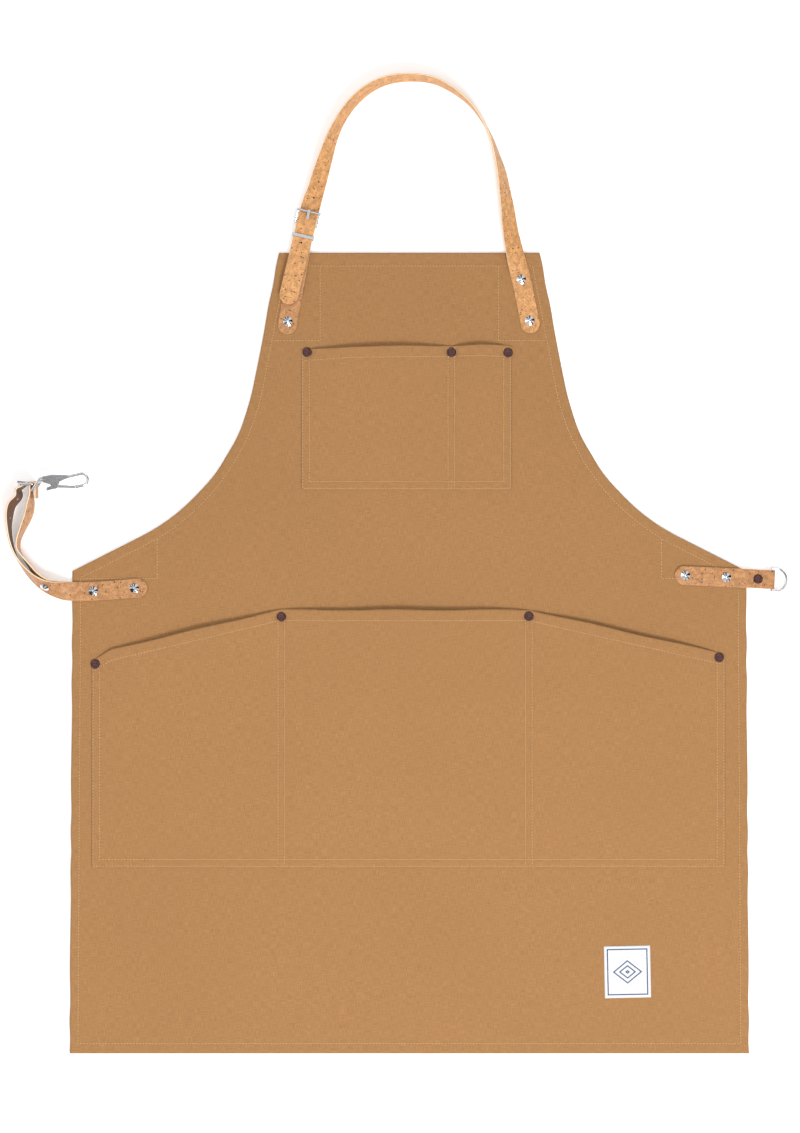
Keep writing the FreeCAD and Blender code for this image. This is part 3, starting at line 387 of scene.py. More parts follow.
def studio(tree):
    """Pale studio all round, with three dark flags that only show in polished metal."""
    nodes, links = tree.nodes, tree.links
    place = nodes.new("ShaderNodeTexCoord")
    wave = nodes.new("ShaderNodeTexWave")
    wave.bands_direction = "DIAGONAL"
    wave.inputs["Scale"].default_value = 0.85
    wave.inputs["Distortion"].default_value = 3.0
    wave.inputs["Detail"].default_value = 1.0
    ramp = nodes.new("ShaderNodeValToRGB")
    for element, position, level in zip(ramp.color_ramp.elements, (0.30, 0.52), (0.03, 1.35)):
        element.position = position
        element.color = (level, level, level, 1)
    glossy = nodes.new("ShaderNodeLightPath")
    mix = nodes.new("ShaderNodeMix")
    mix.data_type = "RGBA"
    mix.inputs[6].default_value = (1, 1, 1, 1)
    links.new(place.outputs["Generated"], wave.inputs["Vector"])
    links.new(wave.outputs["Color"], ramp.inputs[0])
    links.new(glossy.outputs["Is Glossy Ray"], mix.inputs[0])
    links.new(ramp.outputs[0], mix.inputs[7])
    links.new(mix.outputs[2], nodes["Background"].inputs["Color"])
    nodes["Background"].inputs["Strength"].default_value = 0.60


def label_finish(centre, half_width, half_height, turn):
    """Woven white label with a thin navy border and a plain nest of diamonds."""
    f = Finish("woven_label_finish")
    spun = f.node("ShaderNodeMapping", {"vector_type": "TEXTURE"},
                  {"Vector": f.place(), "Location": centre, "Rotation": (0, 0, turn)})
    split = f.nodes.new("ShaderNodeSeparateXYZ")
    f.links.new(spun.socket, split.inputs[0])
    x = Value(f, split.outputs[0])
    y = Value(f, split.outputs[1])
    ax = f.node("ShaderNodeMath", {"operation": "ABSOLUTE"}, {0: x})
    ay = f.node("ShaderNodeMath", {"operation": "ABSOLUTE"}, {0: y})
    inset, line = 3.6 * MM, 0.6 * MM
    border = f.node("ShaderNodeMath", {"operation": "MAXIMUM"},
                    {0: ax - (half_width - inset), 1: ay - (half_height - inset)})
    near = f.node("ShaderNodeMath", {"operation": "ABSOLUTE"}, {0: border})
    frame_line = 1 - near.above(line * 0.8, line * 1.2)
    diamond = ax * 0.8 + ay
    rings = f.node("ShaderNodeMath", {"operation": "SINE"}, {0: diamond * (2 * math.pi / (5.2 * MM))})
    motif = rings.above(0.35, 0.75) * (1 - diamond.above(15.9 * MM, 16.3 * MM))
    weave = f.noise(f.stretched(f.place(), (2600, 500, 1)), 1.0, 2.0)
    white = f.mix(weave.above(0.3, 0.7), (0.60, 0.61, 0.63), (0.80, 0.81, 0.83))
    ink = f.mix(frame_line, white, (0.03, 0.05, 0.13))
    ink = f.mix(motif, ink, (0.05, 0.08, 0.17))
    return f.shade(Base_Color=ink, Roughness=0.7, Normal=f.bump(weave, 0.12 * MM), Sheen_Weight=0.1)


# ================= mesh helpers =================

def at(x, y, z=0.0):
    """Layout millimetres from the panel's middle to a point of the frame, in metres."""
    return np.array([MID_X + x * MM, MID_Y + y * MM, z])


def add_mesh(name, points, faces, material, body="apron", uv=None, side=None, smooth=True):
    mesh = bpy.data.meshes.new(name)
    mesh.from_pydata(points.tolist(), [], faces)
    mesh.polygons.foreach_set("use_smooth", [smooth] * len(mesh.polygons))
    if side is not None:
        mesh.attributes.new("side", "FLOAT", "POINT").data.foreach_set("value", side)
    if uv is not None:
        layer = mesh.uv_layers.new(name="UVMap")
        corner = np.empty(len(mesh.loops), np.int64)
        mesh.loops.foreach_get("vertex_index", corner)
        layer.data.foreach_set("uv", uv[corner].ravel())
    mesh.validate()
    mesh.materials.append(material)
    piece = bpy.data.objects.new(name, mesh)
    bpy.context.collection.objects.link(piece)
    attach(piece, body)
    return piece


def grid_faces(rows, columns, start=0, flip=False, around=False):
    """Quads of a grid of rows by columns; around joins the last column to the first."""
    index = np.arange(rows * columns).reshape(rows, columns) + start
    if around:
        index = np.concatenate([index, index[:, :1]], axis=1)
    quads = np.stack([index[:-1, :-1], index[:-1, 1:], index[1:, 1:], index[1:, :-1]], axis=-1)
    quads = quads.reshape(-1, 4)
    return quads[:, ::-1] if flip else quads


def slab(x, y, top, bottom):
    """Closed sheet: a grid (x, y) with an upper height and a lower height at each point. The
    rim joins the two, point by point round the grid's border."""
    rows, columns = x.shape
    count = rows * columns
    points = np.concatenate([np.stack([x, y, top], -1).reshape(-1, 3),
                             np.stack([x, y, bottom], -1).reshape(-1, 3)])
    index = np.arange(count).reshape(rows, columns)
    border = np.concatenate([index[0, :-1], index[:-1, -1], index[-1, :0:-1], index[:0:-1, 0]])
    following = np.roll(border, -1)
    rim = np.stack([border, border + count, following + count, following], -1)
    faces = np.concatenate([grid_faces(rows, columns), grid_faces(rows, columns, count, True), rim])
    return points, faces.tolist()


def area_under(height, x):
    """Area under a line of points, by trapezoids."""
    return ((height[1:] + height[:-1]) * np.diff(x)).sum() / 2


def run_length(points):
    """Distance along a line of points, from its first one."""
    return np.concatenate([[0], np.cumsum(np.linalg.norm(np.diff(points, axis=0), axis=1))])


def smooth(t):
    """t² (3 - 2t), held at 0 and 1 outside its range."""
    t = np.clip(t, 0, 1)
    return t * t * (3 - 2 * t)


def ripples(x, y, seed, longest=0.24):
    """Sum of a few long sine waves in random directions, about -1 to 1."""
    rng = np.random.default_rng(seed)
    total = np.zeros_like(x)
    for k in range(7):
        angle = rng.uniform(0, math.pi)
        length = longest / (1 + 0.6 * k)
        phase = rng.uniform(0, 2 * math.pi)
        along = x * math.cos(angle) + y * math.sin(angle)
        total += np.sin(along * 2 * math.pi / length + phase) / (1 + 0.5 * k)
    return total / 2.2


# ================= the panel's cut =================

def offset_corners(corners, insets):
    """Corners of an anticlockwise outline with each edge moved in by its own inset."""
    p = np.asarray(corners, float)
    d = np.roll(p, -1, 0) - p
    d /= np.linalg.norm(d, axis=1)[:, None]
    q = p + np.stack([-d[:, 1], d[:, 0]], -1) * np.asarray(insets)[:, None]
    before, db = np.roll(q, 1, 0), np.roll(d, 1, 0)
    cross = db[:, 0] * d[:, 1] - db[:, 1] * d[:, 0]
    gap = q - before
    s = (gap[:, 0] * d[:, 1] - gap[:, 1] * d[:, 0]) / cross
    return before + db * s[:, None]


def panel_corners():
    """Hem, waist, armhole and bib corners, from the lower right round to the left."""
    side, bib = np.array([SIDE_HALF, WAIST_Y]), np.array([BIB_HALF, HALF_LENGTH])
    down = np.array([math.sin(ARMHOLE_FLARE), -math.cos(ARMHOLE_FLARE)])
    rise = np.array([-math.cos(ARMHOLE_FALL), math.sin(ARMHOLE_FALL)])
    gap = side - bib
    s = (gap[0] * rise[1] - gap[1] * rise[0]) / (down[0] * rise[1] - down[1] * rise[0])
    right = np.array([[HEM_HALF, -HALF_LENGTH], side, bib + down * s, bib])
    return np.concatenate([right, right[::-1] * [-1, 1]])


def panel_line(side, bottom, top, armhole, steps=60):
    """Points round the panel, moved in by an amount on each kind of edge. The armhole's
    corner is a circular arc tangent to its two straight edges."""
    insets = [side, armhole, armhole, top, armhole, armhole, side, bottom]
    corners = offset_corners(panel_corners(), insets)
    turn = math.pi / 2 - ARMHOLE_FLARE - ARMHOLE_FALL
    radius = ARMHOLE_RADIUS + armhole
    line = []
    for i, p in enumerate(corners):
        if i not in (2, 5):
            line.append(p[None])
            continue
        before = corners[i - 1] - p
        after = corners[i + 1] - p
        before = before / np.linalg.norm(before)
        after = after / np.linalg.norm(after)
        bisector = (before + after) / np.linalg.norm(before + after)
        centre = p + bisector * radius / math.cos(turn / 2)
        start = math.atan2(*(p + before * radius * math.tan(turn / 2) - centre)[::-1])
        end = math.atan2(*(p + after * radius * math.tan(turn / 2) - centre)[::-1])
        sweep = (end - start + math.pi) % (2 * math.pi) - math.pi
        angle = start + sweep * np.linspace(0, 1, steps)
        line.append(centre + radius * np.stack([np.cos(angle), np.sin(angle)], -1))
    return np.concatenate(line)


RIGHT_EDGE = panel_line(0, 0, 0, 0)[:63]


def half_width(y):
    """Half the panel's width at heights y."""
    return np.interp(y, RIGHT_EDGE[:, 1], RIGHT_EDGE[:, 0])


def edge_distance(x, y):
    """Rough distance from the cut edge, shortened where the side slopes."""
    slope = (half_width(y + MM) - half_width(y - MM)) / (2 * MM)
    side = (half_width(y) - np.abs(x)) / np.sqrt(1 + slope ** 2)
    return np.minimum(np.minimum(side, y + HALF_LENGTH), HALF_LENGTH - y)


def panel_height(x, y, ripple):
    """Upper height of the laid cloth in layout metres: a full hem, a groove at its stitches,
    a lower single layer inside, and slow ripples that die out at the edge."""
    d = edge_distance(x, y)
    hem = HEM_ROUNDING * smooth(d / (2 * MM)) - HEM_SINK
    groove = -HEM_GROOVE * np.exp(-((d - HEM_ROW) / (1.3 * MM)) ** 2)
    inner = -INNER_STEP * smooth((d - 10.5 * MM) / (3 * MM))
    slow = ripple * (ripples(x, y, 3) - 0.9) * 0.5 * smooth((d - 8 * MM) / (60 * MM))
    pucker = PUCKER * np.sin(x * 820 + 3 * np.sin(y * 70)) * np.exp(-((d - 6 * MM) / (5 * MM)) ** 2)
    return FACE + hem + groove + inner + slow + pucker


def fine_at_ends(low, high, step, band=FINE_BAND, fine=1.2 * MM):
    """Positions from low to high, closer together in a band at each end."""
    first = np.arange(0, band, fine)
    middle = np.linspace(low + band, high - band, max(2, int((high - low - 2 * band) / step)))
    return np.concatenate([low + first, middle, (high - first)[::-1]])


# ================= cloth pieces =================

def panel_cloth(cloth, material):
    """The panel as one closed sheet: rows across the cut at each height, closer together in
    the hems, two layers thick in the hems and rolled down to the floor at the bottom."""
    y = fine_at_ends(-HALF_LENGTH, HALF_LENGTH, 4.4 * MM)
    y = np.sort(np.append(y, [WAIST_Y - 1 * MM, WAIST_Y, WAIST_Y + 1 * MM]))
    band = np.arange(0, FINE_BAND, 1.6 * MM)
    inner = np.linspace(-1, 1, 126)
    half = half_width(y)[:, None]
    away_from_corner = np.abs(y) < HALF_LENGTH - MM
    uneven = EDGE_WANDER * np.sin(y * 95 + 2 * np.sin(y * 31)) * away_from_corner
    half = half - EDGE_WANDER + uneven[:, None]
    x = np.concatenate([-half + band, inner * (half - FINE_BAND), (half - band)[:, ::-1]], axis=1)
    y = np.repeat(y[:, None], x.shape[1], axis=1)
    top = panel_height(x, y, cloth.ripple)
    d = edge_distance(x, y)
    layers = CLOTH * (1 + smooth((HEM_WIDTH - d) / (1.5 * MM)))
    bottom = top - layers
    roll = smooth((12.5 * MM - (y + HALF_LENGTH)) / (1.5 * MM))
    bottom = bottom * (1 - roll) + 0.05 * MM * roll
    points, faces = slab(MID_X + x, MID_Y + y, top, np.maximum(bottom, 0.02 * MM))
    piece = add_mesh("canvas_cloth", points, faces, material)
    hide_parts("canvas_panel")
    rows = np.linspace(-HALF_LENGTH, HALF_LENGTH, 2000)
    area = float(area_under(2 * half_width(rows), rows))
    return piece


def patch_cloth(node, sign, material):
    """Second layer behind a corner, cut along the hem's inner edge."""
    low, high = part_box(node)
    y = np.linspace(low.y, high.y, 40) - MID_Y
    slope = (half_width(y + MM) - half_width(y - MM)) / (2 * MM)
    outer = half_width(y) - 11.8 * MM * np.sqrt(1 + slope ** 2)
    if sign < 0:
        inner = MID_X - high.x
    else:
        inner = low.x - MID_X
    share = np.linspace(0, 1, 30)
    x = sign * (inner + (np.maximum(outer, inner + 0.5 * MM) - inner)[:, None] * share)
    if sign < 0:
        x = x[:, ::-1]
    y = np.repeat(y[:, None], 30, axis=1)
    edge = np.minimum(share, 1 - share)[None, :] * 40 * MM
    height = high.z - 0.15 * MM - 0.05 * MM * np.exp(-edge / (2 * MM)) + 0 * y
    points, faces = slab(MID_X + x, MID_Y + y, height, height - 0.55 * MM)
    piece = add_mesh(node + "_cloth", points, faces, material)
    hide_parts(node)
    spread = float(area_under(np.abs(x[:, -1] - x[:, 0]), y[:, 0]))


BIB_POCKET = {"left": -114.5, "right": 108.5, "bottom": 173.0, "divider": (44.5,), "seam": 6.5}
BIB_MOUTH = ((-114.5, 321.0), (-60, 324.5), (44.5, 325.5), (76, 326.5), (108.5, 325.0))
WAIST_POCKET = {"left": -336.5, "right": 334.5, "bottom": -227.0, "divider": (-135.5, 126.5), "seam": 6.5}
WAIST_MOUTH = ((-336.5, -9.0), (-315.5, 4.0), (-140, 45.4), (-135.5, 46.0), (126.5, 46.0),
               (131, 45.0), (334.5, -1.0))


RIVETS = ((-108.2, 318.5), (44.5, 318.5), (104.5, 318.0), (-332.5, -11.5), (-135.5, 38.5),
          (126.5, 39.0), (328.0, -4.5))


def pressed(x, y):
    """0 under a copper rivet, 1 away from it."""
    free = np.ones_like(x)
    for rx, ry in RIVETS:
        free = np.minimum(free, smooth(
            (np.hypot(x - rx * MM, y - ry * MM) - PRESSED_RADIUS) / PRESSED_FADE))
    return free


def mouth_height(mouth, x):
    """Height of a pocket's top edge at x, straight between its corners."""
    points = np.array(mouth) * MM
    return np.interp(x, points[:, 0], points[:, 1])


def pocket_rise(spec, mouth, x, y, gape):
    """How far a pocket stands off the panel: a dome between its seams that opens towards the
    mouth."""
    lines = [spec["left"] + 6, *spec["divider"], spec["right"] - 6]
    dome = np.zeros_like(x)
    for a, b in zip(lines, lines[1:]):
        share = np.clip((x / MM - a) / (b - a), 0, 1)
        inside = (x / MM >= a) & (x / MM <= b)
        width = min(1.0, (b - a) / 110)
        dome += inside * (np.sin(math.pi * share) ** 0.8) * (0.55 + 0.45 * width)
    bottom = spec["bottom"] * MM
    climb = (y - bottom - 8 * MM) / (mouth_height(mouth, x) - bottom - 8 * MM)
    return gape * dome * smooth(climb * 4.5) * (0.16 + 0.84 * smooth((climb - 0.35) / 0.65))


def pocket_cloth(node, spec, mouth, cloth, material, seed):
    """A pocket as one closed sheet: columns from its bottom to its mouth's line, raised by
    pocket_rise and pressed in along the stitch rows and under the rivets."""
    left, right, bottom = spec["left"] * MM, spec["right"] * MM, spec["bottom"] * MM
    columns = [fine_at_ends(left, right, 4.0 * MM, 14 * MM, 1.3 * MM)]
    for line in spec["divider"]:
        columns.append(line * MM + np.linspace(-7, 7, 11) * MM)
    x = np.unique(np.round(np.concatenate(columns), 6))
    x = x[np.concatenate([[True], np.diff(x) > 0.3 * MM])]
    share = fine_at_ends(0, 1, 0.018, 0.06, 0.0055)
    top_edge = mouth_height(mouth, x) + 0.5 * MM * np.sin(x * 60 + seed)
    x, share = np.meshgrid(x, share)
    y = bottom + (top_edge[None, :] - bottom) * share
    rise = pocket_rise(spec, mouth, x, y, cloth.gape)
    from_mouth = top_edge[None, :] - y
    side = np.minimum(x - left, right - x)
    d = np.minimum(side, y - bottom)
    relief = POCKET_ROUNDING * smooth(d / (1.5 * MM)) - POCKET_SINK
    for inset in POCKET_ROWS:
        relief -= POCKET_GROOVE * np.exp(-((d - inset) / (0.9 * MM)) ** 2)
    for line in spec["divider"]:
        for offset in DIVIDER_ROWS:
            relief -= DIVIDER_GROOVE * np.exp(-((x - (line + offset) * MM) / (1.1 * MM)) ** 2)
        relief += DIVIDER_RIDGE * np.exp(-((x - line * MM) / (2.2 * MM)) ** 4)
    relief -= MOUTH_GROOVE * np.exp(-((from_mouth - MOUTH_ROW) / (1.0 * MM)) ** 2)
    relief += MOUTH_HEM * smooth((12 * MM - from_mouth) / (1.5 * MM)) * smooth(from_mouth / (1 * MM))
    slow = cloth.ripple * 0.7 * ripples(x, y, seed) * smooth(rise / (1.2 * MM))
    free = pressed(x, y)
    base = FACE + CLOTH + (rise + slow * 0.6) * free
    top = base + relief * free - RIVET_DIMPLE * (1 - free)
    under = np.maximum(base - CLOTH - 0.1 * MM, FACE + 0.02 * MM)
    points, faces = slab(MID_X + x, MID_Y + y, top, np.minimum(under, top - 0.3 * MM))
    piece = add_mesh(node + "_cloth", points, faces, material)
    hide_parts(node)
    area = float(area_under(top_edge - bottom, x[0]))
    flat = (right - left, float(top_edge.max() - bottom))
    min(area, flat[0] * flat[1])


# ================= stitching =================

def resample(line, pitch):
    """Points and directions each pitch along a polyline, dropping repeated points."""
    step = np.linalg.norm(np.diff(line, axis=0), axis=1)
    line = line[np.concatenate([[True], step > 1e-7])]
    reach = run_length(line)
    s = np.arange(pitch / 2, reach[-1], pitch)
    spot = np.stack([np.interp(s, reach, line[:, k]) for k in range(2)], -1)
    ahead = np.stack([np.interp(s + pitch * 0.3, reach, line[:, k]) for k in range(2)], -1)
    behind = np.stack([np.interp(s - pitch * 0.3, reach, line[:, k]) for k in range(2)], -1)
    way = ahead - behind
    return spot, way / np.linalg.norm(way, axis=1)[:, None]


def stitch_shape(length, radius):
    """One stitch: rings of five points swelling from its ends, along +X."""
    along = np.array([-1, -0.86, -0.45, 0.45, 0.86, 1])
    girth = np.array([0.12, 0.62, 1.0, 1.0, 0.62, 0.12])
    sag = np.array([-0.9, -0.35, 0.15, 0.15, -0.35, -0.9])
    angle = np.linspace(0, 2 * math.pi, 6)[:5]
    x = np.repeat(along[:, None] * length / 2, 5, 1)
    y = girth[:, None] * np.cos(angle) * radius
    z = (girth[:, None] * np.sin(angle) + sag[:, None]) * radius
    faces = grid_faces(6, 5, around=True).tolist()
    return np.stack([x, y, z], -1).reshape(-1, 3), faces + [[4, 3, 2, 1, 0], [25, 26, 27, 28, 29]]


def sew(name, lines, height, cloth, material, seed):
    """Rows of stitches on layout lines; height(x, y) gives the cloth's upper surface."""
    rng = np.random.default_rng(seed)
    shape, shape_faces = stitch_shape(cloth.pitch * 0.66, cloth.stitch_radius)
    spots, ways = zip(*(resample(np.asarray(line), cloth.pitch) for line in lines))
    spot, way = np.concatenate(spots), np.concatenate(ways)
    count = len(spot)
    spot = spot + rng.normal(0, 0.07 * MM, spot.shape)
    angle = rng.normal(0, 0.05, count)
    way = np.stack([way[:, 0] - way[:, 1] * angle, way[:, 1] + way[:, 0] * angle], -1)
    level = height(spot[:, 0], spot[:, 1]) + 0.20 * MM
    x = spot[:, None, 0] + shape[None, :, 0] * way[:, None, 0] - shape[None, :, 1] * way[:, None, 1]
    y = spot[:, None, 1] + shape[None, :, 0] * way[:, None, 1] + shape[None, :, 1] * way[:, None, 0]
    z = level[:, None] + shape[None, :, 2]
    points = np.stack([MID_X + x, MID_Y + y, z], -1).reshape(-1, 3)
    faces = []
    for face in shape_faces:
        faces += (np.array(face)[None, :] + np.arange(count)[:, None] * len(shape)).tolist()
    piece = add_mesh(name, points, faces, material)


def closed(line):
    return np.concatenate([line, line[:1]])


def panel_rows():
    """The row round the panel, and the rows that hold the four corner patches."""
    inner = panel_line(**STITCH_LINES)
    rows = [closed(inner)]
    right = inner[:63]
    for sign in (-1, 1):
        x = sign * (BIB_HALF - 44 * MM)
        bottom = HALF_LENGTH - 93 * MM
        end = np.interp(bottom, right[:, 1], right[:, 0]) * sign
        rows.append([(x, HALF_LENGTH - 14 * MM), (x, bottom), (end, bottom)])
        x = sign * (SIDE_HALF - (94 - 4) * MM)
        bottom = WAIST_Y - (11 - 3) * MM
        top = np.interp(abs(x), right[::-1, 0], right[::-1, 1])
        rows.append([(x, top), (x, bottom), (sign * (SIDE_HALF - 9 * MM), bottom)])
    return rows


def pocket_rows(spec, mouth):
    """Two rows down each side and along the bottom, two by each divider, one at the mouth."""
    left, right, bottom = spec["left"] * MM, spec["right"] * MM, spec["bottom"] * MM
    rows = []
    for inset in POCKET_ROWS:
        a, b = left + inset, right - inset
        rows.append([(a, mouth_height(mouth, a) - 2 * MM), (a, bottom + inset), (b, bottom + inset),
                     (b, mouth_height(mouth, b) - 2 * MM)])
    for line in spec["divider"]:
        for offset in DIVIDER_ROWS:
            x = (line + offset) * MM
            rows.append([(x, bottom + 3 * MM), (x, mouth_height(mouth, x) - 2 * MM)])
    x = np.linspace(left + 3 * MM, right - 3 * MM, 80)
    rows.append(np.stack([x, mouth_height(mouth, x) - MOUTH_ROW], -1))
    return rows


# ================= straps =================

def turned(angle):
    a = math.radians(angle)
    return np.array([math.cos(a), math.sin(a), 0.0])


def unit(v):
    return v / np.linalg.norm(v, axis=-1, keepdims=True)


def spline(points, count):
    """Natural cubic spline through points by chord length, at count even steps. It solves the
    usual three-term equations for the second derivatives."""
    p = np.asarray(points, float)
    n = len(p)
    knots = run_length(p[:, :3])
    h = np.diff(knots)
    a = np.eye(n)
    b = np.zeros_like(p)
    i = np.arange(1, n - 1)
    a[i, i - 1] = h[:-1]
    a[i, i] = 2 * (h[:-1] + h[1:])
    a[i, i + 1] = h[1:]
    rate = np.diff(p, axis=0) / h[:, None]
    b[1:-1] = 6 * np.diff(rate, axis=0)
    m = np.linalg.solve(a, b)
    s = np.linspace(0, knots[-1], count)
    k = np.clip(np.searchsorted(knots, s, side="right") - 1, 0, n - 2)
    u = (s - knots[k])[:, None]
    hk = h[k][:, None]
    return (p[k] + u * (rate[k] - hk * (2 * m[k] + m[k + 1]) / 6) + u ** 2 * m[k] / 2
            + u ** 3 * (m[k + 1] - m[k]) / (6 * hk)), s


def strap_profile(width, thick, corner=0.75 * MM):
    """Rounded rectangle, anticlockwise: (across, out, side) with side 1 on the face, -1 on
    the back and 0 round the edges."""
    a, b = width / 2 - corner, thick / 2 - corner
    points = []
    for k, (cx, cy) in enumerate(((a, b), (-a, b), (-a, -b), (a, -b))):
        angle = np.linspace(k * math.pi / 2, (k + 1) * math.pi / 2, 5)
        points.append(np.stack([cx + corner * np.cos(angle), cy + corner * np.sin(angle)], -1))
        row = np.linspace(a, -a, 8)[1:-1] if k in (0, 2) else np.zeros(0)
        if k == 0:
            points.append(np.stack([row, np.full_like(row, thick / 2)], -1))
        elif k == 2:
            points.append(np.stack([-row, np.full_like(row, -thick / 2)], -1))
    return np.concatenate(points)


def sweep(name, centre, across, thick, material, tips=(), body="apron", width=STRAP_WIDTH):
    """Strap along centre points: at each one a rounded rectangle in the plane of across and
    its normal. A tip in tips rounds that end to a half circle by narrowing the width."""
    way = unit(np.gradient(centre, axis=0))
    w = unit(across - way * (across * way).sum(-1, keepdims=True))
    normal = np.cross(way, w)
    run = run_length(centre)
    r = width / 2
    half = np.full(len(run), 1.0)
    for tip in tips:
        d = np.clip(run if tip == "start" else run[-1] - run, 0, r)
        half = np.minimum(half, np.sqrt(np.clip(1 - ((r - d) / r) ** 2, 0.0009, 1)))
    profile = strap_profile(width, STRAP_THICK)
    rings = len(profile)
    scale = thick / STRAP_THICK
    points = (centre[:, None] + w[:, None] * (profile[None, :, :1] * half[:, None, None])
              + normal[:, None] * (profile[None, :, 1:] * scale[:, None, None]))
    on_back = profile[None, :, 1] < 0
    uv = np.stack(np.broadcast_arrays(run[:, None], profile[None, :, 0] + on_back * BACK_SHIFT), -1)
    side = np.clip(profile[:, 1] / (STRAP_THICK / 2 - EDGE_PAINT), -1, 1)
    side = np.sign(side) * np.abs(side) ** 1.5
    side = np.broadcast_to(side[None], (len(run), rings)).ravel()
    faces = grid_faces(len(run), rings, around=True, flip=True).tolist()
    faces.append(list(range(rings)))
    faces.append([(len(run) - 1) * rings + k for k in range(rings)][::-1])
    return add_mesh(name, points.reshape(-1, 3), faces, material, body, uv.reshape(-1, 2).astype(np.float32),
                    side.astype(np.float32))


def standing(twist, base=0.0):
    """Height of a strap's middle that stands on its lower edge."""
    a = np.radians(twist)
    return base + STRAP_WIDTH / 2 * abs(math.sin(a)) + STRAP_THICK / 2 * abs(math.cos(a)) + FLOOR_GAP


def ease_tips(centre, across, thick, tips, r=STRAP_WIDTH / 2):
    """Extra sections close to a rounded tip, so that it draws as a smooth half circle."""
    run = run_length(centre)
    extra = r * (1 - np.cos(np.linspace(0, math.pi / 2, 14)))
    s = run
    if "start" in tips:
        s = np.concatenate([extra, s[s > r * 1.02]])
    if "end" in tips:
        s = np.concatenate([s[s < run[-1] - r * 1.02], (run[-1] - extra)[::-1]])
    moved = [np.stack([np.interp(s, run, v[:, k]) for k in range(3)], -1) for v in (centre, across)]
    return moved[0], moved[1], np.interp(s, run, thick)


def twisted_frames(route, hand, tips=(), count=260):
    """Centre, width direction and thickness along stations (x, y, z, twist): the width leans
    out of the plan by the twist."""
    line, s = spline(route, count)
    route = np.array(route)
    knots = run_length(route[:, :3])
    centre = line[:, :3].copy()
    centre[:, 2] = np.interp(s, knots, route[:, 2])
    centre[2:-2, 2] = np.convolve(centre[:, 2], np.ones(5) / 5, "valid")
    twist = np.radians(np.interp(s, knots, route[:, 3]))
    way = unit(np.gradient(centre, axis=0) * [1, 1, 0])
    left = np.stack([-way[:, 1], way[:, 0], 0 * way[:, 0]], -1) * hand
    across = left * np.cos(twist)[:, None] + UP * np.sin(twist)[:, None]
    return ease_tips(centre, across * hand, np.full(count, STRAP_THICK), tips)


def punched(name, centre, across, spot, sign, radius, material, body="apron"):
    """Disc of a punched hole, seen on one face of a strap at the place nearest to a spot."""
    k = int(np.argmin(np.linalg.norm((centre - spot)[:, :2], axis=1)))
    way = unit(centre[k + 1] - centre[k - 1])
    w = unit(across[k] - way * (across[k] @ way))
    out = np.cross(way, w) * sign
    angle = np.linspace(0, 2 * math.pi, 17)[:16]
    ring = (np.cos(angle)[:, None] * way + np.sin(angle)[:, None] * np.cross(out, way)) * radius
    points = np.concatenate([centre[k] + out * (STRAP_THICK / 2 - 0.2 * MM) + ring,
                             centre[k] + out * (STRAP_THICK / 2 + 0.04 * MM) + ring])
    faces = grid_faces(2, 16, around=True).tolist() + [list(range(15, -1, -1)), list(range(16, 32))]
    piece = add_mesh(name, points, faces, material, body, smooth=False)


NECK_BAR = at(-109.0, 424 + 29.7, BAR_LEVEL)
NECK_U = turned(NECK_HEADING)


def short_spot(distance, height):
    if distance <= KINK:
        spot = NECK_BAR - NECK_U * distance
    else:
        spot = NECK_BAR - NECK_U * KINK - turned(SHORT_HEADING) * (distance - KINK)
    return np.array([spot[0], spot[1], BAR_LEVEL + height])


def neck_route():
    """Stations of the long neck strap: buckled tail, standing arch, flat fixed end."""
    above = FACE + 2 * STRAP_THICK + LAYER_GAP + TAIL_GAP + STRAP_THICK / 2
    route = []
    for d, z in ((-87, above - STRAP_THICK), (-76, above - STRAP_THICK + 0.6 * MM), (-64, above),
                 (-48, above), (-34, above), (-22, above), (-9, above + 0.3 * MM),
                 (-3, BAR_LEVEL + 5.2 * MM), (0, BAR_LEVEL + 5.4 * MM), (4, BAR_LEVEL + 4.7 * MM),
                 (8.5, BAR_LEVEL + 3.0 * MM), (13, BAR_LEVEL + 1.9 * MM), (17.5, BAR_LEVEL + 1.2 * MM)):
        spot = NECK_BAR + NECK_U * d * MM
        route.append((spot[0], spot[1], z, 0.0 if d < 16 else 6.0))
    for x, y, twist in ((-99.5, 64, 30), (-94, 83, 36), (-88.5, 101, 46), (-83, 118, 56),
                        (-75, 136, 64), (-62.5, 155, 67), (-44, 172, 70), (-24, 181.5, 74),
                        (0, 184.5, 77), (25, 181.5, 81), (47, 170.5, 85), (64.5, 156, 90),
                        (77, 139, 94), (86, 122, 99), (92, 104, 107), (97, 86, 118),
                        (100.5, 66, 127), (103.8, 45, 137), (106.5, 24, 145)):
        base = max(0.0, FACE * (1 - max(y - 6, 0) / 30.0))
        spot = at(x, 424 + y)
        route.append((spot[0], spot[1], standing(twist, base), twist))
    for x, y, twist in ((110.5, 4, 155), (113.3, -8.5, 167), (116.4, -20.5, 180), (122.9, -50, 180),
                        (127.4, -72.1, 180), (129.9, -85.0, 180)):
        z = FACE + 0.05 * MM + STRAP_THICK / 2 if twist == 180 else standing(twist, FACE)
        spot = at(x, 424 + y)
        route.append((spot[0], spot[1], z, twist))
    return route


def arc_points(centre, start, side, radius, turn, steps=8):
    """Points of a bend: start turned about the axis through centre, towards side."""
    angle = np.radians(np.linspace(0, turn, steps + 1))[:, None]
    return centre + radius * (start * np.cos(angle) + side * np.sin(angle))


def folded_strap(name, points, across, thick, material, tips=(), count=240):
    """Strap along a spline through points, each with its own width direction and thickness."""
    line, s = spline(points, count)
    knots = run_length(np.array(points))
    wide = np.stack([np.interp(s, knots, np.array(across)[:, k]) for k in range(3)], -1)
    depth = np.interp(s, knots, thick)
    centre, wide, depth = ease_tips(line, unit(wide), depth, tips)
    return sweep(name, centre, wide, depth, material, tips)


